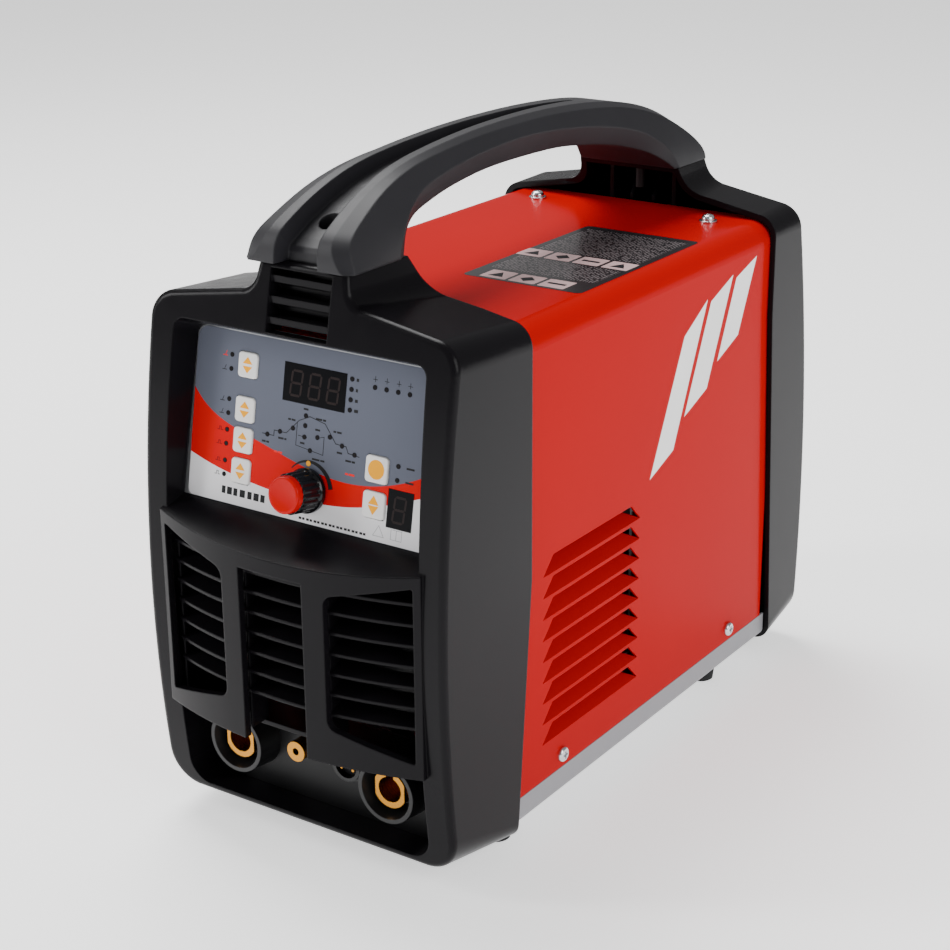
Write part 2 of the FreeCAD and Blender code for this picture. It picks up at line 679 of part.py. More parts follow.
def panel_openings(low, high, grow):
    """Openings of the panel for the windows, keys, lights and knob, widened by grow."""
    cuts = []
    for u0, u1, v0, v1 in (main_window, channel_window):
        cuts.append(panel_block(u0 - grow, u1 + grow, v0 - grow, v1 + grow, low, high))
    for name, (u, v) in key_places.items():
        a, b = key_half_sizes(name)
        a, b = a + key_gap, b + key_gap
        cuts.append(panel_block(u - a, u + a, v - b, v + b, low, high, 1.8 + key_gap))
    cuts += [panel_rod(u, v, light_radius + grow, low, high) for u, v in light_places()]
    cuts.append(panel_rod(knob_u, knob_v, 4.6, low, high))
    return cuts


def make_panel_plate():
    back = -overlay_thick - plate_thick
    plate = panel_block(-panel_half - 3.4, panel_half + 3.4, -1.0, panel_height + 1.4, back, -overlay_thick, 3.0)
    return plate.cut(panel_openings(back - 1, 1, 0.0))


def make_control_overlay():
    across, top = panel_half - fit_gap, panel_height - 2.2
    corners = mirrored([(across, fit_gap, 3.0), (across, top, 6.5)])
    print_sheet = prism(corners, lambda u, v: on_panel(u, v, -overlay_thick), panel_normal * overlay_thick)
    return print_sheet.cut(panel_openings(-2, 1, 0.0))


def make_key(name):
    """Key cap with a flange behind the plate and a stem towards its switch on the board."""
    u, v = key_places[name]
    a, b = key_half_sizes(name)
    back = -overlay_thick - plate_thick
    cap = panel_block(u - a, u + a, v - b, v + b, back - 0.5, 0.9, 1.8)
    a, b = a + key_flange, b + key_flange
    flange = panel_block(u - a, u + a, v - b, v + b, back - 1.5, back - fit_gap, 2.0)
    stem = panel_rod(u, v, 1.8, -6.0, back - 1.2)
    return fuse([cap, flange, stem])


def make_key_switches():
    gap = key_travel + 0.4
    return group([panel_block(u - 3, u + 3, v - 3, v + 3, -board_depth, -6.0 - gap, 0.5)
                  for u, v in key_places.values()])


def make_window(window, depth):
    u0, u1, v0, v1 = window
    return panel_block(u0, u1, v0, v1, -depth, 0.1)


def make_lights():
    return group([panel_rod(u, v, light_radius, -overlay_thick - plate_thick, 0.2) for u, v in light_places()])


def make_control_board():
    board = panel_block(-62, 62, 0.5, 80, -board_depth - board_thick, -board_depth, 2.0)
    cuts = [panel_rod(u, v, 1.6, -board_depth - 3, 0) for u, v in standoff_places]
    cuts.append(panel_rod(knob_u, knob_v, 8.0, -board_depth - 3, 0))
    return board.cut(cuts)


standoff_places = [(u, v) for u in (-57.0, 57.0) for v in (4.2, 76.0)]


def make_standoffs():
    back = -overlay_thick - plate_thick
    posts = []
    for u, v in standoff_places:
        posts.append(fuse([panel_rod(u, v, 3.0, -board_depth, back),
                           panel_rod(u, v, 1.5, -board_depth - board_thick, back),
                           panel_rod(u, v, 3.2, -board_depth - board_thick - 2, -board_depth - board_thick)]))
    return group(posts)


def make_encoder():
    """Encoder can behind the plate, with its threaded bush and nut through the plate."""
    back = -overlay_thick - plate_thick
    can = panel_block(knob_u - 6.5, knob_u + 6.5, knob_v - 6.5, knob_v + 6.5, back - 9.0, back, 1.0)
    bush = panel_rod(knob_u, knob_v, 4.5, back - 1, 3.0)
    body = can.fuse(bush)
    return body.cut(panel_rod(knob_u, knob_v, shaft_radius + running_gap, back - 6.0, 10)).removeSplitter()


def make_encoder_shaft():
    return panel_rod(knob_u, knob_v, shaft_radius, -overlay_thick - plate_thick - 5.5, knob_height - 4.0)


def make_encoder_knob():
    """Fluted knob with a skirt at its foot, hollow below for the bush of the encoder."""
    skirt = panel_rod(knob_u, knob_v, knob_radius, 0.6, 3.6)
    body = panel_rod(knob_u, knob_v, knob_radius - 1.0, 3.0, knob_height - 5.0)
    flutes = []
    count = 18
    for i in range(count):
        turn = 2 * math.pi * i / count
        u = knob_u + knob_radius * 0.985 * math.cos(turn)
        v = knob_v + knob_radius * 0.985 * math.sin(turn)
        flutes.append(panel_rod(u, v, 1.1, 4.6, knob_height))
    solid = skirt.fuse(body).cut(flutes)
    solid = solid.cut(panel_rod(knob_u, knob_v, 5.6, 0, 4.2))
    return solid.cut(panel_rod(knob_u, knob_v, shaft_radius, 0, knob_height - 4.0)).removeSplitter()


def make_knob_cap():
    cap = panel_rod(knob_u, knob_v, knob_cap_radius, knob_height - 5.0, knob_height)
    top = [e for e in cap.Edges if (e.CenterOfMass - on_panel(knob_u, knob_v, knob_height)).Length < 0.1]
    cap = cap.makeFillet(1.6, top)
    return cap.cut(panel_rod(knob_u, knob_v, shaft_radius, knob_height - 6, knob_height - 4.0))


# ---- Connections in the bay -----------------------------------------------------------------
bay_y = front + bay_back
bay_plate = 3.0
socket_xs = {"negative": -socket_offset, "positive": socket_offset}
insert_front = bay_y - collar_length + 3.5


def make_connector_panel():
    plate = prism(rectangle(-bay_half - 1, bay_half + 1, bay_floor - 1.5, bay_roof + 1.5, 12.0), at_y(bay_y),
                  V(0, bay_plate, 0))
    cuts = [rod(V(x, bay_y - 1, socket_height), Y, 13.0, 6) for x in socket_xs.values()]
    cuts.append(rod(V(gas_x, bay_y - 1, gas_height), Y, 5.0, 6))
    cuts.append(rod(V(torch_x, bay_y - 1, torch_height), Y, 7.2, 6))
    return plate.cut(cuts)


def make_socket_body(x):
    """Insulating collar of a cable socket: flared rim, flange and body through the panel."""
    base = V(x, bay_y, socket_height)
    rim = Part.makeCone(collar_radius + 1.4, collar_radius, collar_length, base, Y * -1)
    inner = Part.makeCone(insert_radius + 1.0, collar_radius - 1.8, collar_length - 2, base + Y * -3.0, Y * -1)
    body = rim.cut(inner).fuse(rod(base, Y, 13.0, bay_plate + 9))
    return body.cut(rod(base + Y * -60, Y, insert_radius, 80)).removeSplitter()


def make_socket_insert(x):
    """Brass insert with the plug bore, its two keyways and the stud behind."""
    base = V(x, insert_front, socket_height)
    length = bay_y + bay_plate + 9 - insert_front
    body = rod(base, Y, insert_radius, length)
    body = body.fuse(rod(base + Y * length, Y, 6.0, 22.0))
    body = body.cut(rod(base + Y * -1, Y, socket_bore, 23.0))
    keyway = box(x - 2.2, x + 2.2, insert_front - 1, insert_front + 9, socket_height, socket_height + 8.4)
    flats = [box(x + side * (insert_radius + 1.2) - 2.2, x + side * (insert_radius + 1.2) + 2.2,
                 insert_front - 1, insert_front + 4.0, socket_height - 12, socket_height + 12)
             for side in (1, -1)]
    return body.cut([keyway] + flats).removeSplitter()


def hexagon(base, axis, across, length, bore):
    """Hexagonal nut or flange of the given width across flats."""
    radius = across / math.sqrt(3)
    side_axis = Z if abs(axis.z) < 0.5 else X
    other = axis.cross(side_axis)
    points = [base + side_axis * (radius * math.cos(a)) + other * (radius * math.sin(a))
              for a in (math.pi * k / 3 for k in range(6))]
    solid = Part.Face(Part.makePolygon(points + [points[0]])).extrude(axis * length)
    return solid.cut(rod(base - axis, axis, bore, length + 2)) if bore else solid


def make_connection_nuts():
    """Nuts behind the connector panel: one on each socket's stud and one on the gas fitting."""
    y = bay_y + bay_plate + 9
    nuts = [hexagon(V(x, y, socket_height), Y, 22.0, 7.0, 6.0) for x in socket_xs.values()]
    nuts.append(hexagon(V(gas_x, bay_y + bay_plate, gas_height), Y, 14.0, 4.0, 5.0))
    return group(nuts)


def make_gas_outlet():
    base = V(gas_x, bay_y, gas_height)
    body = hexagon(base + Y * -8.0, Y, 14.0, 8.0, 0)
    body = body.fuse(rod(base + Y * -14.0, Y, 4.2, 7.0))
    body = body.fuse(rod(base + Y * -22.0, Y, 5.2, 9.0))
    body = body.fuse(rod(base, Y, 5.0, bay_plate + 12.0))
    body = body.fuse(rod(base + Y * (bay_plate + 12.0), Y, 3.0, 12.0))
    return body.cut(rod(base + Y * -30, Y, 1.8, 80)).removeSplitter()


def make_torch_shell():
    base = V(torch_x, bay_y, torch_height)
    flange = rod(base + Y * -2.0, Y, 9.6, 2.0)
    ring = rod(base + Y * -5.0, Y, 8.4, 3.5)
    body = flange.fuse(ring).fuse(rod(base, Y, 7.2, bay_plate + 8.0))
    return body.cut(rod(base + Y * -20, Y, 6.4, 60)).removeSplitter()


def make_torch_insert():
    base = V(torch_x, bay_y, torch_height)
    return rod(base + Y * -1.5, Y, 6.4, bay_plate + 9.0).cut(pin_rods(0.0))


def pin_rods(extra):
    turns = [math.radians(90 + 60 * k) for k in range(-2, 3)]
    pins = []
    for a in turns:
        centre = V(torch_x + 4.0 * math.cos(a), bay_y - 1.5 - extra, torch_height + 4.0 * math.sin(a))
        pins.append(rod(centre, Y, 0.8, bay_plate + 9.0 + extra))
    return pins


# ---- Rear panel -----------------------------------------------------------------------------
panel_y = rear - rear_recess
rear_sheet = 1.5
fan_z = 128.0
fan_y1 = panel_y - rear_sheet
switch_x, switch_z = -36.0, rear_open_high - 19.0
gland_x, gland_z = 34.0, rear_open_high - 20.0
inlet_x, stud_x, low_row_z = 38.0, -38.0, 49.0
rocker_swing = 9.0
fan_screw_offset = 52.5


def make_rear_panel():
    grow = wall - 0.5
    plate = prism(rectangle(-rear_open_half - grow, rear_open_half + grow, rear_open_low - grow,
                            rear_open_high + grow, 8.0), at_y(panel_y), V(0, -rear_sheet, 0))
    cuts = []
    y0, y1 = panel_y - 5, panel_y + 5
    guard = fan_size / 2 - 5.0
    rows = int(guard / 6.5)
    for i in range(-rows, rows + 1):
        z = fan_z + 6.5 * i
        reach = math.sqrt(guard ** 2 - (6.5 * i) ** 2)
        if reach < 8:
            continue
        for x0, x1 in ((-reach, -2.5), (2.5, reach)):
            cuts.append(box(x0, x1, y0, y1, z - 2.0, z + 2.0))
    cuts.append(box(switch_x - 10.0, switch_x + 10.0, y0, y1, switch_z - 14.5, switch_z + 14.5))
    cuts.append(rod(V(gland_x, y0, gland_z), Y, 9.0, 10))
    cuts.append(rod(V(inlet_x, y0, low_row_z), Y, 5.0, 10))
    cuts.append(rod(V(stud_x, y0, low_row_z), Y, 3.0, 10))
    cuts += [rod(V(x, y0, z), Y, 2.1, 10) for x, z in fan_screw_places()]
    return plate.cut(cuts)


def fan_screw_places():
    return [(x, fan_z + dz) for x in (-fan_screw_offset, fan_screw_offset)
            for dz in (-fan_screw_offset, fan_screw_offset)]


def make_fan_frame():
    """Square fan frame with a round duct, a hub carried by four arms, and its corner holes."""
    y0 = fan_y1 - fan_depth
    h = fan_size / 2
    frame = prism(rectangle(-h, h, fan_z - h, fan_z + h, 6.0), at_y(y0), V(0, fan_depth, 0))
    frame = frame.cut(rod(V(0, y0 - 1, fan_z), Y, h - 3.0, fan_depth + 2))
    arms = rod(V(0, y0, fan_z), Y, fan_hub, 3.0)
    for turn in range(4):
        arm = box(-1.6, 1.6, y0, y0 + 3.0, fan_z + 10, fan_z + h - 2.0)
        arm.rotate(V(0, 0, fan_z), Y, 45 + 90 * turn)
        arms = arms.fuse(arm)
    axle = rod(V(0, y0, fan_z), Y, 2.5, 18.0)
    body = frame.fuse(arms).fuse(axle).removeSplitter()
    return body.cut([rod(V(x, y0 - 1, z), Y, 2.1, fan_depth + 2) for x, z in fan_screw_places()])


def make_fan_rotor():
    """Seven pitched blades on a cup that turns on the axle of the frame."""
    y0 = fan_y1 - fan_depth + 4.0
    hub = rod(V(0, y0, fan_z), Y, fan_hub, 18.0)
    hub = hub.cut(rod(V(0, y0 - 1, fan_z), Y, 2.5 + running_gap, 15.5))
    blades = []
    tip = fan_size / 2 - 4.6
    blade_count = 7
    for i in range(blade_count):
        blade = prism([(-10.0, y0 + 1.0, 0), (-8.4, y0 + 1.0, 0), (10.0, y0 + 17.0, 0), (8.4, y0 + 17.0, 0)],
                      at_z(fan_z + fan_hub - 3.0), V(0, 0, tip - fan_hub + 2.0))
        blade.rotate(V(0, 0, fan_z), Y, 360.0 * i / blade_count)
        blades.append(blade)
    trim = rod(V(0, y0, fan_z), Y, tip, 18.0)
    return hub.fuse([b.common(trim) for b in blades]).removeSplitter()


def make_fan_screws():
    screws = []
    for x, z in fan_screw_places():
        screws.append(pan_screw(V(x, panel_y, z), Y, 4.0, 2.4, fan_depth + rear_sheet + 4.0, 2.1))
        nut_y = fan_y1 - fan_depth
        screws.append(hexagon(V(x, nut_y, z), Y * -1, 7.0, 3.0, 2.1))
    return group(screws)


def make_switch_body():
    y = panel_y
    flange = prism(rectangle(switch_x - 12.5, switch_x + 12.5, switch_z - 17.5, switch_z + 17.5, 1.5), at_y(y),
                   V(0, 2.0, 0))
    body = box(switch_x - 10.0, switch_x + 10.0, y - 24.0, y + 1, switch_z - 14.5, switch_z + 14.5)
    body = body.fuse(flange)
    body = body.cut(box(switch_x - 8.6, switch_x + 8.6, y - 14.0, y + 5, switch_z - 13.2, switch_z + 13.2))
    pins = [box(switch_x - 3.2, switch_x + 3.2, y - 33.0, y - 23.0, switch_z + dz - 0.4, switch_z + dz + 0.4)
            for dz in (-8.0, 8.0)]
    pivots = [rod(V(switch_x + side * 8.9, y - 3.0, switch_z), X * -side, 1.6, 2.2) for side in (1, -1)]
    return body.fuse(pins + pivots).removeSplitter()


def make_rocker():
    """Rocker with a slightly hollow face, pressed in at its upper end in the off position."""
    y = panel_y
    side_shape = [(y - 8.0, switch_z - 6.0, 2.0), (y + 1.6, switch_z - 11.6, 1.0), (y + 3.6, switch_z - 11.0, 0.8),
                  (y + 2.2, switch_z, 0), (y + 3.6, switch_z + 11.0, 0.8), (y + 1.6, switch_z + 11.6, 1.0),
                  (y - 8.0, switch_z + 6.0, 2.0)]
    body = prism(side_shape, at_x(switch_x - 8.2), V(16.4, 0, 0))
    sockets = [rod(V(switch_x + side * 8.5, y - 3.0, switch_z), X * -side, 1.6 + running_gap, 2.4)
               for side in (1, -1)]
    body = body.cut(sockets)
    body.rotate(V(switch_x, y - 3.0, switch_z), X, rocker_swing)
    return body


def make_cable_gland():
    base = V(gland_x, panel_y, gland_z)
    body = hexagon(base, Y, 24.0, 6.0, 0)
    dome = Part.makeCone(11.0, 8.6, 11.0, base + Y * 6.0, Y)
    body = body.fuse(dome).fuse(rod(base + Y * (-rear_sheet - 10.0), Y, 9.0, rear_sheet + 10.5))
    body = body.fuse(hexagon(base + Y * (-rear_sheet - 5.0), Y, 24.0, 5.0, 0))
    return body.cut(rod(base + Y * -30, Y, 4.6, 60)).removeSplitter()


def make_gas_inlet():
    base = V(inlet_x, panel_y, low_row_z)
    body = hexagon(base, Y, 14.0, 6.0, 0)
    body = body.fuse(rod(base + Y * 5.0, Y, 3.6, 16.0))
    barbs = [Part.makeCone(4.4, 3.4, 3.4, base + Y * (8.0 + 4.0 * k), Y) for k in range(3)]
    body = body.fuse(barbs).fuse(rod(base + Y * (-rear_sheet - 12.0), Y, 5.0, rear_sheet + 12.5))
    body = body.fuse(hexagon(base + Y * (-rear_sheet - 4.0), Y, 14.0, 4.0, 0))
    body = body.fuse(rod(base + Y * (-rear_sheet - 24.0), Y, 3.0, 13.0))
    return body.cut(rod(base + Y * -60, Y, 1.8, 100)).removeSplitter()


def make_earth_stud():
    base = V(stud_x, panel_y, low_row_z)
    body = rod(base + Y * (-rear_sheet - 8.0), Y, 3.0, rear_sheet + 8.0 + 18.0)
    body = body.fuse(tube(base, Y, 7.0, 2.9, 1.5))
    body = body.fuse(hexagon(base + Y * 1.5, Y, 10.0, 5.0, 2.9))
    body = body.fuse(hexagon(base + Y * (-rear_sheet - 5.0), Y, 10.0, 5.0, 2.9))
    return body.removeSplitter()


# ---- Inside ---------------------------------------------------------------------------------
inner_front, inner_rear = tray_front + 22.0, fan_y1 - fan_depth - 22.0
inner_middle = (inner_front + inner_rear) / 2
deck_z = tray_floor + sheet
board_z = 0.5 * cover_top + 32.0
bracket_x = cover_half - 22.0
main_board_thick = 2.0
transformer_y = inner_middle - 12.5


def make_inner_frame():
    """Two folded side brackets that stand on the tray and carry the main board."""
    parts = []
    for side in (1, -1):
        near, far = sorted((side * bracket_x, side * (bracket_x + 1.5)))
        web = box(near, far, inner_front, inner_rear, deck_z, board_z)
        openings = [box(near - 1, far + 1, y - 20, y + 20, deck_z + 30, board_z - 22)
                    for y in (inner_front + 40, inner_middle, inner_rear - 40)]
        parts.append(web.cut(openings))
        for z in (deck_z, board_z - 1.5):
            near, far = sorted((side * bracket_x, side * (bracket_x - 12.0)))
            parts.append(box(near, far, inner_front, inner_rear, z, z + 1.5))
    return group([fuse(parts[:3]), fuse(parts[3:])])


def make_main_board():
    across = bracket_x + 1.0
    return box(-across, across, inner_front, inner_rear, board_z, board_z + main_board_thick)


def make_heat_sinks():
    """Two finned extrusions that hang in the air stream under the main board."""
    sinks = []
    for x0 in (-44.0, 4.0):
        y0, y1 = inner_middle - 62.0, inner_middle + 72.0
        base = box(x0, x0 + 40.0, y0, y1, board_z - 14.0, board_z - 7.0)
        fins = [box(x0 + 1.0 + 5.2 * k, x0 + 2.6 + 5.2 * k, y0, y1, board_z - 44.0, board_z - 13.0)
                for k in range(8)]
        sinks.append(fuse([base] + fins))
    return group(sinks)


def make_power_modules():
    modules = []
    for x0 in (-44.0, 4.0):
        for k in range(4):
            y = inner_middle - 50.0 + 32.0 * k
            modules.append(box(x0 + 10, x0 + 30, y, y + 16.0, board_z - 7.0, board_z))
    return group(modules)


def make_capacitors():
    top = board_z + main_board_thick
    height = min(45.0, cover_top - top - 12.0)
    cans = []
    for x in (-40.0, -4.0):
        for k in range(2):
            can = rod(V(x, inner_rear - 26.0 - 36.0 * k, top), Z, 16.0, height)
            cans.append(can.cut(tube(V(x, inner_rear - 26.0 - 36.0 * k, top + 3), Z, 17.0, 15.4, 1.2)))
    return group(cans)


def make_transformer_core():
    y = transformer_y
    outer = box(-30, 30, y - 28, y + 28, deck_z, deck_z + 56)
    windows = [box(x0, x0 + 14, y - 40, y + 40, deck_z + 14, deck_z + 42) for x0 in (-23, 9)]
    return outer.cut(windows)


def make_transformer_windings():
    y = transformer_y
    outer = prism([(-22.5, y - 36, 6.0), (22.5, y - 36, 6.0), (22.5, y + 36, 6.0), (-22.5, y + 36, 6.0)],
                  at_z(deck_z + 14.5), V(0, 0, 27.0))
    return outer.cut(box(-9.0, 9.0, y - 28.0, y + 28.0, deck_z, deck_z + 60))


def make_output_choke():
    base = V(-22.5, inner_rear - 34.0, deck_z)
    ring = Part.makeTorus(22.0, 10.0, base + Z * 10.0, Z)
    return ring


def make_coupling_coil():
    """High-frequency coupling coil of the arc starter, on its former."""
    base = V(24, inner_rear - 60.0, deck_z)
    former = tube(base, Z, 16.0, 12.0, 44.0)
    turns = [tube(base + Z * (5.0 + 6.0 * k), Z, 20.0, 16.0, 4.4) for k in range(6)]
    return fuse([former] + turns)


valve_y = inner_front + 14.0
plunger_travel = 2.0
plunger_radius = 5.0
valve_x = 36.0


def make_gas_valve():
    """Solenoid valve: brass block low down and its coil above, round the plunger's bore."""
    z = deck_z
    block = box(valve_x - 12, valve_x + 12, valve_y - 13, valve_y + 13, z, z + 26)
    coil = prism(rectangle(valve_x - 13, valve_x + 13, valve_y - 14, valve_y + 14, 3.0), at_z(z + 26), V(0, 0, 34))
    body = block.fuse(coil)
    body = body.cut(rod(V(valve_x, valve_y, z + 14), Z, plunger_radius + running_gap, 40))
    body = body.cut(rod(V(valve_x, valve_y - 20, z + 10), Y, 2.0, 40))
    return body.removeSplitter()


def make_valve_plunger():
    return rod(V(valve_x, valve_y, deck_z + 14.0 + fit_gap), Z, plunger_radius, 40.0 - plunger_travel - 2 * fit_gap)


hose_radius = 3.6


def bend_path(points, share=0.45):
    """Polyline whose corners are tangent arcs, each as large as its two runs allow."""
    edges = []
    last = points[0]
    for before, corner, after in zip(points, points[1:], points[2:]):
        a, b = (before - corner), (after - corner)
        reach = share * min(a.Length, b.Length)
        a.normalize()
        b.normalize()
        turn = a.getAngle(b) / 2
        radius = reach * math.tan(turn)
        middle = corner + (a + b).normalize() * (radius / math.sin(turn) - radius)
        start, end = corner + a * reach, corner + b * reach
        edges.append(Part.LineSegment(last, start).toShape())
        edges.append(Part.Arc(start, middle, end).toShape())
        last = end
    edges.append(Part.LineSegment(last, points[-1]).toShape())
    return Part.Wire(edges)


def hose(points):
    path = bend_path(points)
    start = points[0]
    along = (points[1] - points[0]).normalize()
    profile = Part.Wire(Part.makeCircle(hose_radius, start, along))
    return path.makePipeShell([profile], True, False)


def make_gas_hoses():
    """Gas lines from the inlet to the valve and from the valve to the outlet."""
    valve_back = V(valve_x, valve_y + 13.0, deck_z + 10)
    inlet_back = V(inlet_x, panel_y - rear_sheet - 24.0, low_row_z)
    side_x = bracket_x - 8.0
    first = [valve_back, valve_back + Y * 24, V(side_x - 4, valve_y + 66, deck_z + 8),
             V(side_x - 4, inlet_back.y - 70, deck_z + 8), inlet_back + Y * -26, inlet_back]
    valve_front = V(valve_x, valve_y - 13.0, deck_z + 10)
    outlet_back = V(gas_x, bay_y + bay_plate + 24.0, gas_height)
    second = [outlet_back, outlet_back + Y * 14, valve_front + Y * -14, valve_front]
    return group([hose(first), hose(second)])


def make_output_rectifier():
    y0, y1 = inner_front + 4.0, transformer_y - 42.0
    base = box(-50, -13.4, y0, y1, deck_z, deck_z + 8)
    fins = [box(-50 + 5 * k, -48.4 + 5 * k, y0, y1, deck_z + 7, deck_z + 36) for k in range(8)]
    return fuse([base] + fins)


casing = {
    "front_housing": make_front_housing(),
    "front_louvres": make_front_louvres(),
    "rear_housing": make_rear_housing(),
    "handle": make_handle(),
    "handle_screws": make_handle_screws(),
    "cover": make_cover(),
    "base_tray": make_base_tray(),
    "rubber_feet": make_feet(),
    "foot_screws": make_foot_screws(),
    "cover_side_screws": make_side_screws(),
    "cover_top_screws": make_top_screws(),
}
controls = {
    "panel_plate": make_panel_plate(),
    "control_overlay": make_control_overlay(),
    "main_display": make_window(main_window, 8.0),
    "channel_display": make_window(channel_window, 8.0),
    "indicator_lights": make_lights(),
    "key_switches": make_key_switches(),
    "control_board": make_control_board(),
    "board_standoffs": make_standoffs(),
    "encoder": make_encoder(),
    "encoder_shaft": make_encoder_shaft(),
    "encoder_knob": make_encoder_knob(),
    "knob_cap": make_knob_cap(),
}
for key in key_places:
    controls[key] = make_key(key)
connections = {
    "connector_panel": make_connector_panel(),
    "socket_inserts": group([make_socket_insert(x) for x in socket_xs.values()]),
    "connection_nuts": make_connection_nuts(),
    "gas_outlet": make_gas_outlet(),
    "torch_socket_shell": make_torch_shell(),
    "torch_socket_insert": make_torch_insert(),
    "torch_socket_pins": group(pin_rods(2.5)),
}
for sign, x in socket_xs.items():
    connections[f"{sign}_socket_body"] = make_socket_body(x)
back = {
    "rear_panel": make_rear_panel(),
    "fan_frame": make_fan_frame(),
    "fan_rotor": make_fan_rotor(),
    "fan_screws": make_fan_screws(),
    "switch_body": make_switch_body(),
    "switch_rocker": make_rocker(),
    "cable_gland": make_cable_gland(),
    "gas_inlet": make_gas_inlet(),
    "earth_stud": make_earth_stud(),
}
inside = {
    "inner_frame": make_inner_frame(),
    "main_board": make_main_board(),
    "heat_sinks": make_heat_sinks(),
    "power_modules": make_power_modules(),
    "bus_capacitors": make_capacitors(),
    "transformer_core": make_transformer_core(),
    "transformer_windings": make_transformer_windings(),
    "output_choke": make_output_choke(),
    "output_rectifier": make_output_rectifier(),
    "coupling_coil": make_coupling_coil(),
    "gas_valve": make_gas_valve(),
    "valve_plunger": make_valve_plunger(),
    "gas_hoses": make_gas_hoses(),
}
for name, shape in {**casing, **controls, **connections, **back, **inside}.items():
    write(name, shape)
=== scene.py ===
import math

import bpy
import numpy as np
from mathutils import Matrix, Vector


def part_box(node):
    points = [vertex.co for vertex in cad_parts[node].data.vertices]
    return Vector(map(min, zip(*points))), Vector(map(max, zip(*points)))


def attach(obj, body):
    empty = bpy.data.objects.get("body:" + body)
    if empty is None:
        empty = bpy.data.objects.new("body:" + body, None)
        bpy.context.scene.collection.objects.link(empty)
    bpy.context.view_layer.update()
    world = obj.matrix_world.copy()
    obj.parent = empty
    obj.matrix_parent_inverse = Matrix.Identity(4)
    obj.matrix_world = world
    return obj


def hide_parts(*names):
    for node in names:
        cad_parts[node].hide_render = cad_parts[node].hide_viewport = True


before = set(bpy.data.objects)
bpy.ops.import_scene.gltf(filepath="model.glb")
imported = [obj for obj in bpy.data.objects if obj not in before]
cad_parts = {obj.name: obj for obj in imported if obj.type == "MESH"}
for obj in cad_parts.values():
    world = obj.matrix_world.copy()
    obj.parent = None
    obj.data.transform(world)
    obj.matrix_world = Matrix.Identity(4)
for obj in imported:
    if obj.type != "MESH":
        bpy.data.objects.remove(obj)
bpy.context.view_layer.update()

# ---- Studio and camera ----------------------------------------------------------------------
# A plain pale floor under soft boxes, and a camera at standing height to the front right.
# The whole stage is outside the object.
mm = 0.001
eye = Vector((556.95, -838.64, 519.54)) * mm
turn, tilt, roll = math.radians(34.31), math.radians(20.49), math.radians(-0.438)
lens_data = bpy.data.cameras.new("camera")
lens_data.sensor_width, lens_data.lens = 36.0, 76.83
lens_data.clip_start, lens_data.clip_end = 0.05, 40.0
camera = bpy.data.objects.new("camera", lens_data)
camera.matrix_world = (Matrix.Translation(eye) @ Matrix.Rotation(turn, 4, "Z")
                       @ Matrix.Rotation(math.pi / 2 - tilt, 4, "X") @ Matrix.Rotation(roll, 4, "Z"))
bpy.context.scene.collection.objects.link(camera)
bpy.context.scene.camera = camera


def soft_box(name, place, aim, width, height, power):
    """Rectangular lamp at place, in metres and watts, turned so that its light falls towards aim."""
    data = bpy.data.lights.new(name, "AREA")
    data.shape, data.size, data.size_y = "RECTANGLE", width, height
    data.energy = power
    lamp = bpy.data.objects.new(name, data)
    lamp.location = place
    lamp.rotation_euler = (Vector(aim) - Vector(place)).to_track_quat("-Z", "Y").to_euler()
    bpy.context.scene.collection.objects.link(lamp)


soft_box("overhead box", (-0.75, 0.35, 1.8), (0, 0, 0.1), 1.1, 1.1, 46)
soft_box("left box", (-1.6, -1.3, 1.1), (0, -0.1, 0.2), 0.4, 1.5, 26)
soft_box("right box", (2.0, -0.5, 1.2), (0, 0, 0.15), 1.2, 1.4, 30)
sky = bpy.data.worlds.new("studio")
sky.use_nodes = True
sky.node_tree.nodes["Background"].inputs["Color"].default_value = (1, 1, 1, 1)
sky.node_tree.nodes["Background"].inputs["Strength"].default_value = 0.3
bpy.context.scene.world = sky


class Value:
    """A number on its way through a shader: each operator adds the Math node that does it."""

    def __init__(self, finish, socket):
        self.finish, self.socket = finish, socket

    def act(self, operation, *others):
        return self.finish.math(operation, self, *others)

    def __add__(self, other):
        return self.act("ADD", other)

    def __sub__(self, other):
        return self.act("SUBTRACT", other)

    def __mul__(self, other):
        return self.act("MULTIPLY", other)

    def __truediv__(self, other):
        return self.act("DIVIDE", other)

    def __rsub__(self, other):
        return self.finish.math("SUBTRACT", other, self)

    def __rtruediv__(self, other):
        return self.finish.math("DIVIDE", other, self)

    __radd__, __rmul__ = __add__, __mul__

    def above(self, edge, soft=0.00004):
        """0 below edge and 1 above it, with a narrow ramp between."""
        return self.finish.clamp((self - edge) / soft + 0.5)


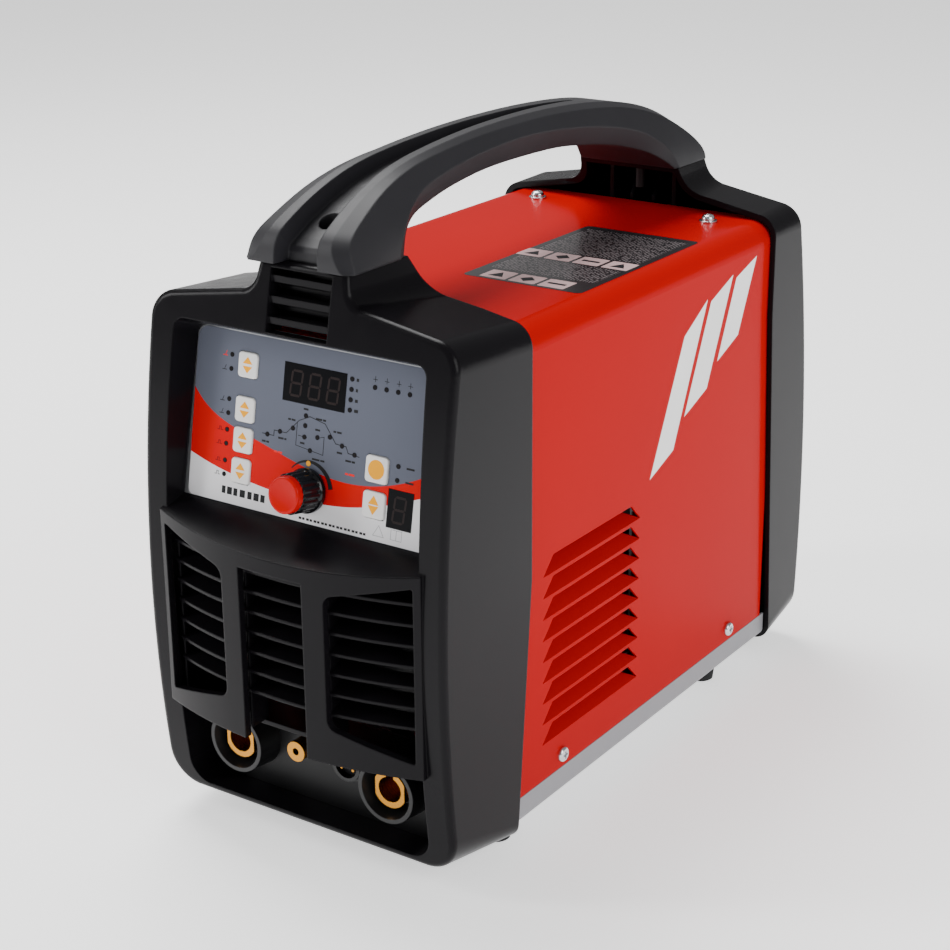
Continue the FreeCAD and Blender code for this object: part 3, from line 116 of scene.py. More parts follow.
class Finish:
    """One procedural material: node() adds any node, and the rest are short ways to use it."""

    def __init__(self, name, **uniform):
        self.material = bpy.data.materials.new(name)
        self.material.use_nodes = True
        self.tree = self.material.node_tree
        self.shader = self.tree.nodes["Principled BSDF"]
        for key, value in uniform.items():
            self.put(self.shader.inputs[key.replace("_", " ").title().replace("Ior", "IOR")], value)

    def put(self, socket, value):
        """Links a socket or a Value to an input, or sets a plain number or colour on it."""
        if isinstance(value, Value):
            value = value.socket
        if isinstance(value, bpy.types.NodeSocket):
            self.tree.links.new(value, socket)
        elif isinstance(value, tuple) and len(value) == 3 and socket.type == "RGBA":
            socket.default_value = (*value, 1.0)
        else:
            socket.default_value = value

    def node(self, kind, settings=None, inputs=None):
        """Adds a node of a kind, sets its settings first, and then the values or links of its inputs."""
        made = self.tree.nodes.new(kind)
        for key, value in (settings or {}).items():
            setattr(made, key, value)
        for key, value in (inputs or {}).items():
            self.put(made.inputs[key], value)
        return made

    def math(self, operation, *values):
        made = self.node("ShaderNodeMath", {"operation": operation}, dict(enumerate(values)))
        return Value(self, made.outputs[0])

    def clamp(self, value):
        made = self.node("ShaderNodeClamp", None, {"Value": value})
        return Value(self, made.outputs[0])

    def place(self):
        return self.node("ShaderNodeTexCoord").outputs["Object"]

    def axes(self):
        """The place on the object in metres, as three numbers."""
        parts = self.node("ShaderNodeSeparateXYZ", None, {0: self.place()})
        return [Value(self, parts.outputs[i]) for i in range(3)]

    def noise(self, scale, detail=2.0, stretch=(1, 1, 1)):
        """Soft noise with scale cells to the metre, closer along an axis by its stretch."""
        spot = self.node("ShaderNodeMapping", None, {"Vector": self.place(), "Scale": stretch})
        links = {"Vector": spot.outputs[0], "Scale": scale, "Detail": detail}
        made = self.node("ShaderNodeTexNoise", None, links)
        return Value(self, made.outputs[0])

    def mix(self, share, first, second):
        """Colour that goes from first to second as share goes from 0 to 1."""
        made = self.node("ShaderNodeMix", {"data_type": "RGBA"}, {0: share, 6: first, 7: second})
        return made.outputs[2]

    def colour(self, value):
        self.put(self.shader.inputs["Base Color"], value)

    def rough(self, value):
        self.put(self.shader.inputs["Roughness"], value)

    def relief(self, height, depth, rounding=0.0):
        """Bump of the given depth in metres, on top of edges that look rounded by a radius."""
        links = {"Height": height, "Distance": depth}
        if rounding:
            links["Normal"] = self.node("ShaderNodeBevel", {"samples": 3}, {"Radius": rounding}).outputs[0]
        self.put(self.shader.inputs["Normal"], self.node("ShaderNodeBump", None, links).outputs[0])


floor_finish = Finish("studio floor", roughness=0.9, specular_ior_level=0.05, emission_strength=0.9)
floor_finish.put(floor_finish.shader.inputs["Emission Color"], (1.0, 1.0, 1.0))
floor_finish.colour(floor_finish.mix(floor_finish.noise(3.0), (0.90, 0.90, 0.90), (0.92, 0.92, 0.92)))
floor_reach = 9
floor_corners = [(u * floor_reach, v * floor_reach, 0) for u, v in ((-1, -1), (1, -1), (1, 1), (-1, 1))]
floor_mesh = bpy.data.meshes.new("floor")
floor_mesh.from_pydata(floor_corners, [], [(0, 1, 2, 3)])
floor_mesh.materials.append(floor_finish.material)
floor = bpy.data.objects.new("floor", floor_mesh)
bpy.context.scene.collection.objects.link(floor)


def give(finish, *nodes):
    """Puts one finish on every face of some CAD nodes."""
    for name in nodes:
        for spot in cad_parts[name].material_slots:
            spot.material = finish.material


def piece(name, body, parts, stands_for=(), smooth=True):
    """One new piece out of (points in metres, faces, finish) parts, which rides on a body."""
    points, faces, numbers, finishes = [], [], [], []
    count = 0
    for some_points, some_faces, finish in parts:
        points.append(np.asarray(some_points, float).reshape(-1, 3))
        faces += [[count + int(i) for i in face] for face in some_faces]
        if finish.material not in finishes:
            finishes.append(finish.material)
        numbers += [finishes.index(finish.material)] * len(some_faces)
        count += len(points[-1])
    mesh = bpy.data.meshes.new(name)
    mesh.from_pydata(np.concatenate(points).tolist(), [], faces)
    for finish in finishes:
        mesh.materials.append(finish)
    mesh.polygons.foreach_set("material_index", np.array(numbers, np.int32))
    if smooth:
        mesh.shade_smooth()
        mesh.set_sharp_from_angle(angle=math.radians(38))
    made = bpy.data.objects.new(name, mesh)
    bpy.context.scene.collection.objects.link(made)
    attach(made, body)
    if stands_for:
        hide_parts(*stands_for)
    return made


# ---- Base tray and feet ---------------------------------------------------------------------
# A folded steel tray with a textured grey coat; its edges show as a strip under the cover.
# Four rubber feet are screwed up into it.
def painted(name, colour, roughness, specular=0.5):
    """Baked paint on sheet steel: a faint orange peel, and edges that the paint rounds."""
    finish = Finish(name, specular_ior_level=specular)
    finish.colour(finish.mix(finish.noise(14.0), colour, tuple(c * 0.93 for c in colour)))
    finish.rough(finish.noise(60.0) * 0.06 + roughness)
    finish.relief(finish.noise(420.0, 1.0), 0.000012, 0.0004)
    return finish


def moulded(name, colour, roughness, grain, depth, rounding=0.0006, specular=0.14):
    """Moulded plastic or rubber with a fine even grain; grain is the size of one cell in metres."""
    finish = Finish(name, specular_ior_level=specular)
    shade = finish.noise(26.0, 3.0)
    finish.colour(finish.mix(shade, colour, tuple(c * 1.25 for c in colour)))
    finish.rough(finish.noise(90.0) * 0.08 + roughness)
    finish.relief(finish.noise(1.0 / grain, 3.0), depth, rounding)
    return finish


def metal(name, colour, roughness, brushed=(1, 1, 1), rounding=0.0003):
    """Bare or plated metal with fine drawn lines along one direction."""
    finish = Finish(name, metallic=1.0)
    lines = finish.noise(900.0, 2.0, brushed)
    finish.colour(finish.mix(finish.noise(45.0, 3.0), colour, tuple(c * 0.8 for c in colour)))
    finish.rough(lines * 0.14 + roughness)
    finish.relief(lines, 0.00001, rounding)
    return finish


grey_coat = painted("grey textured coat", (0.27, 0.27, 0.29), 0.42)
foot_rubber = moulded("foot rubber", (0.016, 0.016, 0.017), 0.7, 0.0006, 0.00003)
bright_zinc = metal("bright zinc", (0.74, 0.75, 0.78), 0.16)
give(grey_coat, "base_tray")
give(foot_rubber, "rubber_feet")
give(bright_zinc, "foot_screws")

# ---- Works inside the casing ----------------------------------------------------------------
# Boards, coils, heat sinks and the gas valve on two folded brackets; little of them shows
# through the openings, but each has the finish of what it is.
steel_plate = metal("inner steel", (0.5, 0.51, 0.53), 0.3, (1, 0.1, 1))
extruded_aluminium = metal("extruded aluminium", (0.76, 0.77, 0.79), 0.28, (1, 0.05, 1))
copper_wire = metal("enamelled copper", (0.62, 0.24, 0.09), 0.22, (1, 1, 8))
board_green = moulded("circuit board", (0.012, 0.09, 0.035), 0.35, 0.0015, 0.00004, 0.0002)
part_black = moulded("component black", (0.015, 0.015, 0.016), 0.45, 0.0005, 0.00001, 0.0003)
sleeve_blue = moulded("capacitor sleeve", (0.01, 0.025, 0.11), 0.25, 0.004, 0.00001)
ferrite_grey = moulded("ferrite", (0.035, 0.035, 0.038), 0.5, 0.0007, 0.00002)
hose_black = moulded("gas hose", (0.014, 0.014, 0.016), 0.4, 0.002, 0.00002)
give(steel_plate, "inner_frame")
give(extruded_aluminium, "heat_sinks", "output_rectifier")
give(copper_wire, "transformer_windings", "output_choke", "coupling_coil")
give(board_green, "main_board", "control_board")
give(part_black, "power_modules", "key_switches", "encoder")
give(sleeve_blue, "bus_capacitors")
give(ferrite_grey, "transformer_core")
give(hose_black, "gas_hoses")
give(metal("valve steel", (0.6, 0.6, 0.62), 0.3), "valve_plunger", "encoder_shaft", "board_standoffs")

# ---- Cover ----------------------------------------------------------------------------------
# One sheet of steel bent over the works, with pressed louvres low on both sides, in glossy red.
# Slanted white bars are printed on each side; pan-head screws hold it to the tray.
gloss_red = painted("gloss red paint", (0.46, 0.0001, 0.0022), 0.16, 0.025)
give(gloss_red, "cover")
cover_low, cover_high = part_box("cover")


def slab(corners, place, low, high):
    """Flat closed solid: the outline, counter-clockwise, at place(u, v, low) and place(u, v, high)."""
    flat = np.asarray(corners, float)
    count = len(flat)
    points = np.concatenate([place(flat[:, 0], flat[:, 1], low), place(flat[:, 0], flat[:, 1], high)])
    around = np.arange(count)
    nexts = (around + 1) % count
    sides = np.stack([around, nexts, nexts + count, around + count], 1).tolist()
    return points, [list(range(count))[::-1], list(range(count, 2 * count))] + sides


white_ink = moulded("white print", (0.8, 0.8, 0.79), 0.3, 0.002, 0.000004, 0.0, 0.5)
bars = [((0.012, 0.154), (0.036, 0.163), (0.069, 0.236), (0.045, 0.222)),
        ((0.047, 0.178), (0.071, 0.187), (0.097, 0.243), (0.073, 0.234)),
        ((0.082, 0.199), (0.105, 0.208), (0.124, 0.2475), (0.101, 0.2405))]
print_low, print_high = -0.0001, 0.00005
for side, name in ((1, "right"), (-1, "left")):
    def on_side(u, v, h, side=side):
        """Points u along and v up the cover's side, h out of it."""
        return np.stack([np.full_like(u, side * (cover_high.x + h)), u, v], 1)
    prints = []
    for bar in bars:
        outline = bar if side > 0 else bar[::-1]
        prints.append((*slab(outline, on_side, print_low, print_high), white_ink))
    piece(f"side_bars_{name}", "machine", prints)

# ---- Warning sheet on the cover -------------------------------------------------------------
# A printed film stuck to the top: dark ground, rows of plain fine lines and pale squares with
# simple generic signs.
sheet_x0, sheet_x1, sheet_y0, sheet_y1 = 0.005, 0.073, -0.040, 0.080
line_pitch, letter_scale, line_seed = 0.0017, 520.0, 7.3
film = Finish("warning film", coat_weight=0.15, coat_roughness=0.1)
x, y, _ = film.axes()
rows = (x - sheet_x0) / line_pitch
row = film.math("FRACT", rows)
letter_place = {0: film.math("FLOOR", rows) * line_seed, 1: y * letter_scale}
letters = film.node("ShaderNodeCombineXYZ", None, letter_place)
words = film.node("ShaderNodeTexNoise", None, {"Vector": letters.outputs[0], "Scale": 1.0, "Detail": 0.0})
words = Value(film, words.outputs[0]).above(0.43, 0.05)
inside = ((x - (sheet_x0 + 0.004)).above(0.0) * ((sheet_x1 - 0.004) - x).above(0.0)
          * (y - (sheet_y0 + 0.02)).above(0.0) * ((sheet_y1 - 0.006) - y).above(0.0))
between = 1.0 - (y - 0.006).above(0.0) * (0.024 - y).above(0.0)
lines = row.above(0.55, 0.1) * words * inside * between
film.colour(film.mix(lines, (0.022, 0.020, 0.022), (0.16, 0.135, 0.14)))
film.rough(0.24 + lines * 0.1)
film.relief(lines, 0.00001)


def on_top(u, v, h):
    """Points u across and v along the cover's top, h above it."""
    return np.stack([u, v, np.full_like(u, cover_high.z + h)], 1)


def rounded(half_u, half_v, radius, steps=6):
    """Rectangle with round corners, counter-clockwise: four quarter circles joined by lines."""
    angle = np.linspace(0, math.pi / 2, steps)
    signs = np.array([(1, 1), (-1, 1), (-1, -1), (1, -1)])
    turns = np.arange(4)[:, None] * math.pi / 2 + angle
    u = signs[:, :1] * (half_u - radius) + radius * np.cos(turns)
    v = signs[:, 1:] * (half_v - radius) + radius * np.sin(turns)
    return np.stack([u.ravel(), v.ravel()], 1)


pale_ink = moulded("pale print", (0.50, 0.34, 0.34), 0.3, 0.002, 0.000004, 0.0)
dark_ink = moulded("dark print", (0.012, 0.012, 0.014), 0.35, 0.002, 0.000004, 0.0)
centre = np.array([(sheet_x0 + sheet_x1) / 2, (sheet_y0 + sheet_y1) / 2])
ground = rounded((sheet_x1 - sheet_x0) / 2, (sheet_y1 - sheet_y0) / 2, 0.003) + centre
sheet_parts = [(*slab(ground, on_top, -0.00005, 0.00012), film)]
sign_shapes = {
    "triangle": [(-0.0042, -0.0035), (0.0042, -0.0035), (0.0, 0.004)],
    "diamond": [(0, -0.0042), (0.0042, 0), (0, 0.0042), (-0.0042, 0)],
    "bar": [(-0.005, -0.0012), (0.005, -0.0012), (0.005, 0.0012), (-0.005, 0.0012)],
}
sign_pitch, sign_half_u, sign_half_v = 0.0168, 0.0074, 0.0068
for row_y, count, first in ((-0.031, 3, 0.021), (0.015, 4, 0.0125)):
    for i in range(count):
        middle = np.array([first + sign_pitch * i, row_y])
        square = rounded(sign_half_u, sign_half_v, 0.0008) + middle
        sheet_parts.append((*slab(square, on_top, 0.0001, 0.0002), pale_ink))
        shape = list(sign_shapes.values())[i % len(sign_shapes)]
        sheet_parts.append((*slab(np.array(shape) + middle, on_top, 0.00018, 0.00026), dark_ink))
piece("warning_sheet", "machine", sheet_parts)

# ---- Screws of the cover --------------------------------------------------------------------
# Zinc-plated pan heads with a cross recess: two low on each side, and two on top that stand
# on flat washers.
def turned_grid(rows, columns):
    """Quads between the rings of a turned shape, whose first and last rings are closed by a face."""
    a = (np.arange(rows - 1)[:, None] * columns + np.arange(columns)[None]).ravel()
    b = (np.arange(rows - 1)[:, None] * columns + (np.arange(columns)[None] + 1) % columns).ravel()
    quads = np.stack([a, b, b + columns, a + columns], 1).tolist()
    last = (rows - 1) * columns
    return quads + [list(range(columns))[::-1], list(range(last, last + columns))]


def turned(profile, base, axis, steps=48, shape=None):
    """Solid of revolution: profile (radius, height) rings about axis from base.

    shape(angle, radius, height) may change the radius and height of each point."""
    along = Vector(axis).normalized()
    across = along.orthogonal().normalized()
    if abs(along.z) < 0.9:
        across = (Vector((0, 0, 1)) - along * along.z).normalized()
    third = along.cross(across)
    angle = np.linspace(0, 2 * math.pi, steps, endpoint=False)
    radius, height = (np.array(column, float)[:, None] for column in zip(*profile))
    radius, height = radius + 0 * angle, height + 0 * angle
    if shape is not None:
        radius, height = shape(angle + 0 * radius, radius, height)
    points = (np.array(base) + height[..., None] * np.array(along)
              + (radius * np.cos(angle))[..., None] * np.array(across)
              + (radius * np.sin(angle))[..., None] * np.array(third))
    return points.reshape(-1, 3), turned_grid(len(profile), steps)


def cross_recess(width, reach, depth):
    """Lowers the points of the head's top that lie in a cross of the given arm width and reach."""
    def shape(angle, radius, height):
        u, v = np.abs(radius * np.cos(angle)), np.abs(radius * np.sin(angle))
        within = (np.minimum(u, v) < width / 2) & (np.maximum(u, v) < reach)
        top = height > height.max() * 0.55
        return radius, np.where(within & top, height - depth, height)
    return shape


def pan_head(base, axis, radius, height, shank, shank_radius):
    """Pan-head screw: shank, flat seat, rim and a domed top with a cross recess."""
    rim = [(shank_radius, -shank), (shank_radius, -0.0001), (radius, 0.0), (radius, height * 0.3)]
    angle = np.linspace(0.25, 1.0, 5) * math.pi / 2
    dome = [(radius - height * 0.7 * (1 - math.cos(a)), height * (0.3 + 0.7 * math.sin(a))) for a in angle]
    flat = dome[-1][0]
    shares = (0.93, 0.86, 0.79, 0.72, 0.65, 0.58, 0.5, 0.4, 0.3, 0.2, 0.12, 0.04)
    top = [(flat * share, height) for share in shares]
    return turned(rim + dome + top, base, axis, 64, cross_recess(0.00105, flat * 0.8, height * 0.45))


side_low, side_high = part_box("cover_side_screws")
side_head, side_head_height = 0.004, 0.0024
top_head, top_head_height = 0.0036, 0.003
shank, shank_radius = 0.009, 0.002
washer_radius, washer_hole, washer_thick, washer_edge = 0.005, 0.0022, 0.001, 0.0002
side_parts = []
for side in (1, -1):
    for y_place in (side_low.y + side_head, side_high.y - side_head):
        spot = (side * cover_high.x, y_place, (side_low.z + side_high.z) / 2)
        head = pan_head(spot, (side, 0, 0), side_head, side_head_height, shank, shank_radius)
        side_parts.append((*head, bright_zinc))
piece("cover_side_screw_heads", "machine", side_parts, ["cover_side_screws"])
top_low, top_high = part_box("cover_top_screws")
top_parts = []
for side in (1, -1):
    spot = (side * (top_high.x - washer_radius), (top_low.y + top_high.y) / 2, cover_high.z)
    washer = [(washer_hole, 0.0), (washer_radius, 0.0), (washer_radius, washer_thick - washer_edge),
              (washer_radius - washer_edge, washer_thick), (washer_hole, washer_thick)]
    top_parts.append((*turned(washer, spot, (0, 0, 1)), bright_zinc))
    above = (spot[0], spot[1], spot[2] + washer_thick)
    head = pan_head(above, (0, 0, 1), top_head, top_head_height, shank, shank_radius)
    top_parts.append((*head, bright_zinc))
piece("cover_top_screw_heads", "machine", top_parts, ["cover_top_screws"])

# ---- Front housing --------------------------------------------------------------------------
# A deep moulded frame in satin black plastic, with the control recess, the nose and the bay.
housing_black = moulded("housing black", (0.0045, 0.004, 0.005), 0.2, 0.0005, 0.000004, 0.0010, 0.1)
give(housing_black, "front_housing")

# ---- Front slats ----------------------------------------------------------------------------
# One moulding of thin curved blades behind the posts of the nose; each has a rounded lip.
give(housing_black, "front_louvres")

# ---- Connector bay --------------------------------------------------------------------------
# A black plate at the back of the bay carries two cable sockets in insulating collars with
# brass inserts, the gas outlet and the round socket of the torch lead.
bay_black = moulded("bay plate black", (0.004, 0.004, 0.0045), 0.34, 0.0008, 0.00001, 0.0003, 0.25)
collar_black = moulded("collar black", (0.006, 0.006, 0.0065), 0.26, 0.003, 0.00001, 0.0006, 0.35)
brass = metal("machined brass", (0.52, 0.235, 0.035), 0.2, (0.2, 6, 0.2), 0.0004)
give(bay_black, "connector_panel")
give(collar_black, "negative_socket_body", "positive_socket_body", "torch_socket_shell")
give(brass, "socket_inserts", "connection_nuts", "gas_outlet", "torch_socket_pins")
give(part_black, "torch_socket_insert")
panel_low, panel_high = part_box("connector_panel")
outlet_low, outlet_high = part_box("gas_outlet")


def on_bay_panel(u, v, h):
    """Points u across and v up the bay's plate, h out of it."""
    return np.stack([u, np.full_like(u, panel_low.y - h), v], 1)


outlet_x = (outlet_low.x + outlet_high.x) / 2
bay_marks, mark_high = [], 0.0011
for drop, half_long in ((0.0055, 0.0042), (0.0080, 0.0030)):
    v = outlet_low.z - drop
    bay_mark = [(outlet_x - half_long, v), (outlet_x + half_long, v), (outlet_x + half_long, v + mark_high),
                (outlet_x - half_long, v + mark_high)]
    bay_marks.append((*slab(bay_mark, on_bay_panel, print_low, print_high), white_ink))
piece("bay_marks", "machine", bay_marks)

# ---- Control panel --------------------------------------------------------------------------
# A printed film on a steel plate: grey above, a red band that sweeps across, white below.
# The plate behind it is zinc-coated.
lean = math.radians(10.33)
film_low, film_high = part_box("control_overlay")
film_thick, film_edge = 0.0004, 0.0003
panel_y = film_low.y - film_edge * math.sin(lean)
panel_z = film_low.z + film_thick * math.sin(lean) - film_edge * math.cos(lean)


def on_panel(u, v, h):
    """Points u across and v up the sloping panel, h out of it."""
    u, v, h = np.broadcast_arrays(u, v, h)
    return np.stack([u, panel_y + v * math.sin(lean) - h * math.cos(lean),
                     panel_z + v * math.cos(lean) + h * math.sin(lean)], -1)


print_film = Finish("printed panel film", roughness=0.36, specular_ior_level=0.07)
x, y, z = print_film.axes()
up = (y - panel_y) * math.sin(lean) + (z - panel_z) * math.cos(lean)
half_span = 70
across = x / (half_span * mm)


def swept_edge(points):
    """Height of a smooth colour boundary above the panel's foot: a sixth-degree series of x through points."""
    u, v = np.array(points).T
    series = np.polyfit(u / half_span, v * mm, 6)
    height = across * float(series[0]) + float(series[1])
    for factor in series[2:]:
        height = height * across + float(factor)
    return height


grey_edge = swept_edge([(-69.9, 52.8), (-58.4, 42.7), (-43.7, 37.2), (-26.8, 32.6), (-9.6, 27.8), (2.4, 25.4),
                        (14.1, 24.4), (28.5, 23.5), (39.7, 24.8), (53.2, 28.9), (64.9, 34.0), (70, 36.5)])
white_edge = swept_edge([(-69.7, 21.2), (-60.6, 18.0), (-44.8, 15.3), (-26.1, 11.7), (-6, 11.0), (12.6, 11.0),
                         (26.8, 12.7), (40.6, 15.8), (54.1, 20.4), (65.2, 24.5), (70, 26.4)])
film_grey, film_red, film_white = (0.118, 0.128, 0.165), (0.62, 0.0005, 0.002), (0.80, 0.79, 0.81)
lower_bands = print_film.mix((up - white_edge).above(0.0), film_white, film_red)
print_film.colour(print_film.mix((up - grey_edge).above(0.0), lower_bands, film_grey))
print_film.rough(print_film.noise(300.0) * 0.1 + 0.3)
print_film.relief(print_film.noise(2600.0), 0.000006)
give(print_film, "control_overlay")
give(steel_plate, "panel_plate")

black_ink = moulded("black ink", (0.012, 0.012, 0.013), 0.4, 0.002, 0.000003, 0.0)
amber_ink = moulded("amber ink", (0.86, 0.36, 0.003), 0.35, 0.002, 0.000003, 0.0)
red_ink = moulded("red ink", (0.75, 0.01, 0.01), 0.4, 0.002, 0.000003, 0.0)
ink_low, ink_high = -0.00002, 0.00004
dash_gap, fine_line, caption_high = 0.45, 0.3, 0.9


def ink(corners, finish, low=ink_low, high=ink_high):
    """Printed patch on the panel from corners in millimetres."""
    return (*slab(np.array(corners, float) * mm, on_panel, low, high), finish)


def stroke(points, width, finish):
    """Printed line along points in millimetres: one thin patch for each of its runs."""
    path = np.array(points, float)
    patches = []
    for a, b in zip(path, path[1:]):
        run = (b - a) / np.linalg.norm(b - a)
        left = np.array([-run[1], run[0]]) * width / 2
        end = run * width / 2
        patches.append(ink([a - end - left, b + end - left, b + end + left, a - end + left], finish))
    return patches


def marks(u, v, widths, height, finish):
    """Row of small plain dashes, side by side from (u, v), that stands where a caption would."""
    patches = []
    for width in widths:
        patches.append(ink([(u, v), (u + width, v), (u + width, v + height), (u, v + height)], finish))
        u += width + dash_gap
    return patches


# The weld cycle's curve, with its branches and the dashes beside its lamps.
art = []
flow = [(-27, 37.5), (-20.2, 37.5), (-20.2, 40.1), (-13, 40.1), (-6, 47.2), (0, 50), (9, 48.2), (13.5, 43),
        (15.8, 40.2), (21.8, 40.0), (23.2, 37.2), (29.5, 36.6)]
art += stroke(flow, 0.35, black_ink)
for branch in ([(-7, 46), (-7, 35.5), (9, 33.6)], [(9, 33.6), (9, 42), (7, 41.5)], [(-6, 40.3), (-1, 40.0)]):
    art += stroke(branch, fine_line, black_ink)
captions = [(-27, 33.5, (2.2, 1.6)), (-17.5, 36.6, (3.2, 1.2)), (-12.5, 46.4, (1.6, 2.2)), (-4, 52.6, (2.8,)),
            (3.5, 49.2, (3.6, 1.8)), (-4.6, 36.6, (2.6,)), (3.6, 44.2, (2.8,)), (3.0, 30.4, (4.4, 2.4)),
            (14, 45.2, (1.6, 2.6)), (16.8, 36.0, (3.0,)), (22, 33.2, (3.2, 1.8)), (56, 36.0, (4.4,)),
            (56, 29.6, (4.4,))]
for u, v, widths in captions:
    art += marks(u, v, widths, caption_high, black_ink)
art += marks(-19.5, 29.8, (1.8, 2.6), caption_high, red_ink)
art += marks(22.5, 27.2, (1.6, 3.2), caption_high, red_ink)

# Marks beside the display, signs over the row of lamps, and small signs left of the keys.
unit_high, tick_reach = 1.4, 1.1
for v, width in ((71.2, 1.4), (66.4, 1.2), (61.6, 1.6), (57.0, 2.2)):
    art += marks(24.6, v - unit_high / 2, (width,), unit_high, black_ink)
for u in (35.0, 41.4, 48.0, 54.3):
    art += stroke([(u - tick_reach, 73.2), (u + tick_reach, 73.2)], fine_line, black_ink)
    art += stroke([(u, 72.2), (u, 74.6)], fine_line, black_ink)
for v, colour in ((71.2, red_ink), (64.5, black_ink), (49.7, black_ink), (43.6, black_ink)):
    art += stroke([(-53.6, v - 0.9), (-51.2, v - 0.9)], 0.35, colour)
    art += stroke([(-52.4, v - 0.7), (-51.6, v + 1.2)], fine_line, colour)
for v in (35.4, 28.7, 20.5, 13.9):
    foot, head = v - 0.8, v + 0.7
    pulse = [(-54, foot), (-53, foot), (-53, head), (-52, head), (-52, foot), (-51, foot)]
    art += stroke(pulse, 0.28, black_ink)

# The scale round the knob: a sickle between an arc and a spiral, and an amber dot.
knob_u, knob_v, sickle_steps = 2.5, 16, 28
sweep = np.radians(np.linspace(142, 12, sickle_steps))
outer_radius, inner_radius = 14.0, np.linspace(13.4, 11.4, sickle_steps)
outer = np.stack([knob_u + outer_radius * np.cos(sweep), knob_v + outer_radius * np.sin(sweep)], 1)
inner = np.stack([knob_u + inner_radius * np.cos(sweep), knob_v + inner_radius * np.sin(sweep)], 1)
for k in range(sickle_steps - 1):
    art.append(ink([inner[k], inner[k + 1], outer[k + 1], outer[k]], black_ink))
dot_turn = np.linspace(0, 2 * math.pi, 20, endpoint=False)
dot = np.stack([1.2 + 1.3 * np.cos(dot_turn), 28.3 + 1.3 * np.sin(dot_turn)], 1)
art.append(ink(dot, amber_ink, 0.0, 0.0001))

# Bars in the lower left corner, a row of fine dashes and two plain signs along the foot.
foot_bars = ((-49, 2.2), (-45.8, 3.0), (-41.9, 2.4), (-38.0, 3.2), (-33.3, 2.6), (-29.6, 3.2), (-25.4, 2.6))
for u, width in foot_bars:
    art += marks(u, 4.6, (width,), 3.6, black_ink)
for k in range(9):
    art += marks(-2.0 + 4.4 * k, 1.6, (1.6, 1.4), 1.1, black_ink)
grey_ink = moulded("grey ink", (0.3, 0.3, 0.32), 0.4, 0.002, 0.000003, 0.0)
foot_signs = ([(40.6, 2.8), (46.6, 2.8), (43.6, 7.8), (40.6, 2.8)],
              [(50.5, 2.8), (56.5, 2.8), (56.5, 7.4), (50.5, 7.4), (50.5, 2.8)], [(53.5, 2.8), (53.5, 7.4)])
for sign in foot_signs:
    art += stroke(sign, 0.22, grey_ink)
piece("panel_print", "machine", art, smooth=False)

# ---- Displays and lamps ---------------------------------------------------------------------
# Dark acrylic windows over seven-bar digits that are off, and small black lamps.
window_black = moulded("display window", (0.004, 0.004, 0.005), 0.12, 0.003, 0.000002, 0.0003, 0.08)
digit_dark = moulded("unlit digit", (0.014, 0.008, 0.008), 0.3, 0.003, 0.000002, 0.0)
lamp_dark = moulded("lamp lens", (0.010, 0.009, 0.010), 0.16, 0.002, 0.000004, 0.0004, 0.1)
give(window_black, "main_display", "channel_display")
give(lamp_dark, "indicator_lights")


digit_wide, digit_high, digit_bar, digit_lean, digit_pitch = 6.0, 11.6, 1.1, 0.08, 10.6


def digit(u, v, width=digit_wide, height=digit_high, bar=digit_bar):
    """Seven bars of one digit with pointed ends; each point leans right by a share of its height."""
    def bar_between(a, b):
        a, b = np.array(a, float), np.array(b, float)
        run = (b - a) / np.linalg.norm(b - a)
        left = np.array([-run[1], run[0]]) * bar / 2
        a, b = a + run * bar * 0.15, b - run * bar * 0.15
        tip = run * bar / 2
        outline = [a, a + tip - left, b - tip - left, b, b - tip + left, a + tip + left]
        return ink([p + (digit_lean * (p[1] - v), 0) for p in outline], digit_dark, 0.00008, 0.00014)
    u0, u1, v0, v1, v2 = u, u + width, v, v + height / 2, v + height
    runs = [((u0, v0), (u1, v0)), ((u0, v1), (u1, v1)), ((u0, v2), (u1, v2)), ((u0, v0), (u0, v1)),
            ((u0, v1), (u0, v2)), ((u1, v0), (u1, v1)), ((u1, v1), (u1, v2))]
    return [bar_between(a, b) for a, b in runs]


digits = []
for k in range(3):
    digits += digit(-12.6 + digit_pitch * k, 58.2)
digits += digit(50.6, 11.0)
piece("display_digits", "machine", digits, smooth=False)

# ---- Keys -----------------------------------------------------------------------------------
# Six moulded white caps, each with a flange that keeps it behind the plate and a stem.
# Amber arrows are printed on five of them and a disc on the sixth.
key_white = moulded("key white", (0.74, 0.73, 0.72), 0.32, 0.0015, 0.000006, 0.0)


def key_cap(u, v, half_u, half_v):
    """Stack of rounded outlines from the stem up through the flange to the domed cap."""
    wide_u, wide_v = half_u + 0.75, half_v + 0.75
    rows = [(1.8, 1.8, 1.8, -6.0), (1.8, 1.8, 1.8, -3.9), (wide_u, wide_v, 2.0, -3.9),
            (wide_u, wide_v, 2.0, -2.7), (half_u, half_v, 1.8, -2.7), (half_u, half_v, 1.8, 0.45),
            (half_u - 0.1, half_v - 0.1, 1.75, 0.68), (half_u - 0.32, half_v - 0.32, 1.6, 0.84),
            (half_u - 0.7, half_v - 0.7, 1.4, 0.9)]
    rings = [on_panel(*((rounded(a, b, r) + (u, v)) * mm).T, h * mm) for a, b, r, h in rows]
    return np.concatenate(rings), turned_grid(len(rows), len(rings[0]))


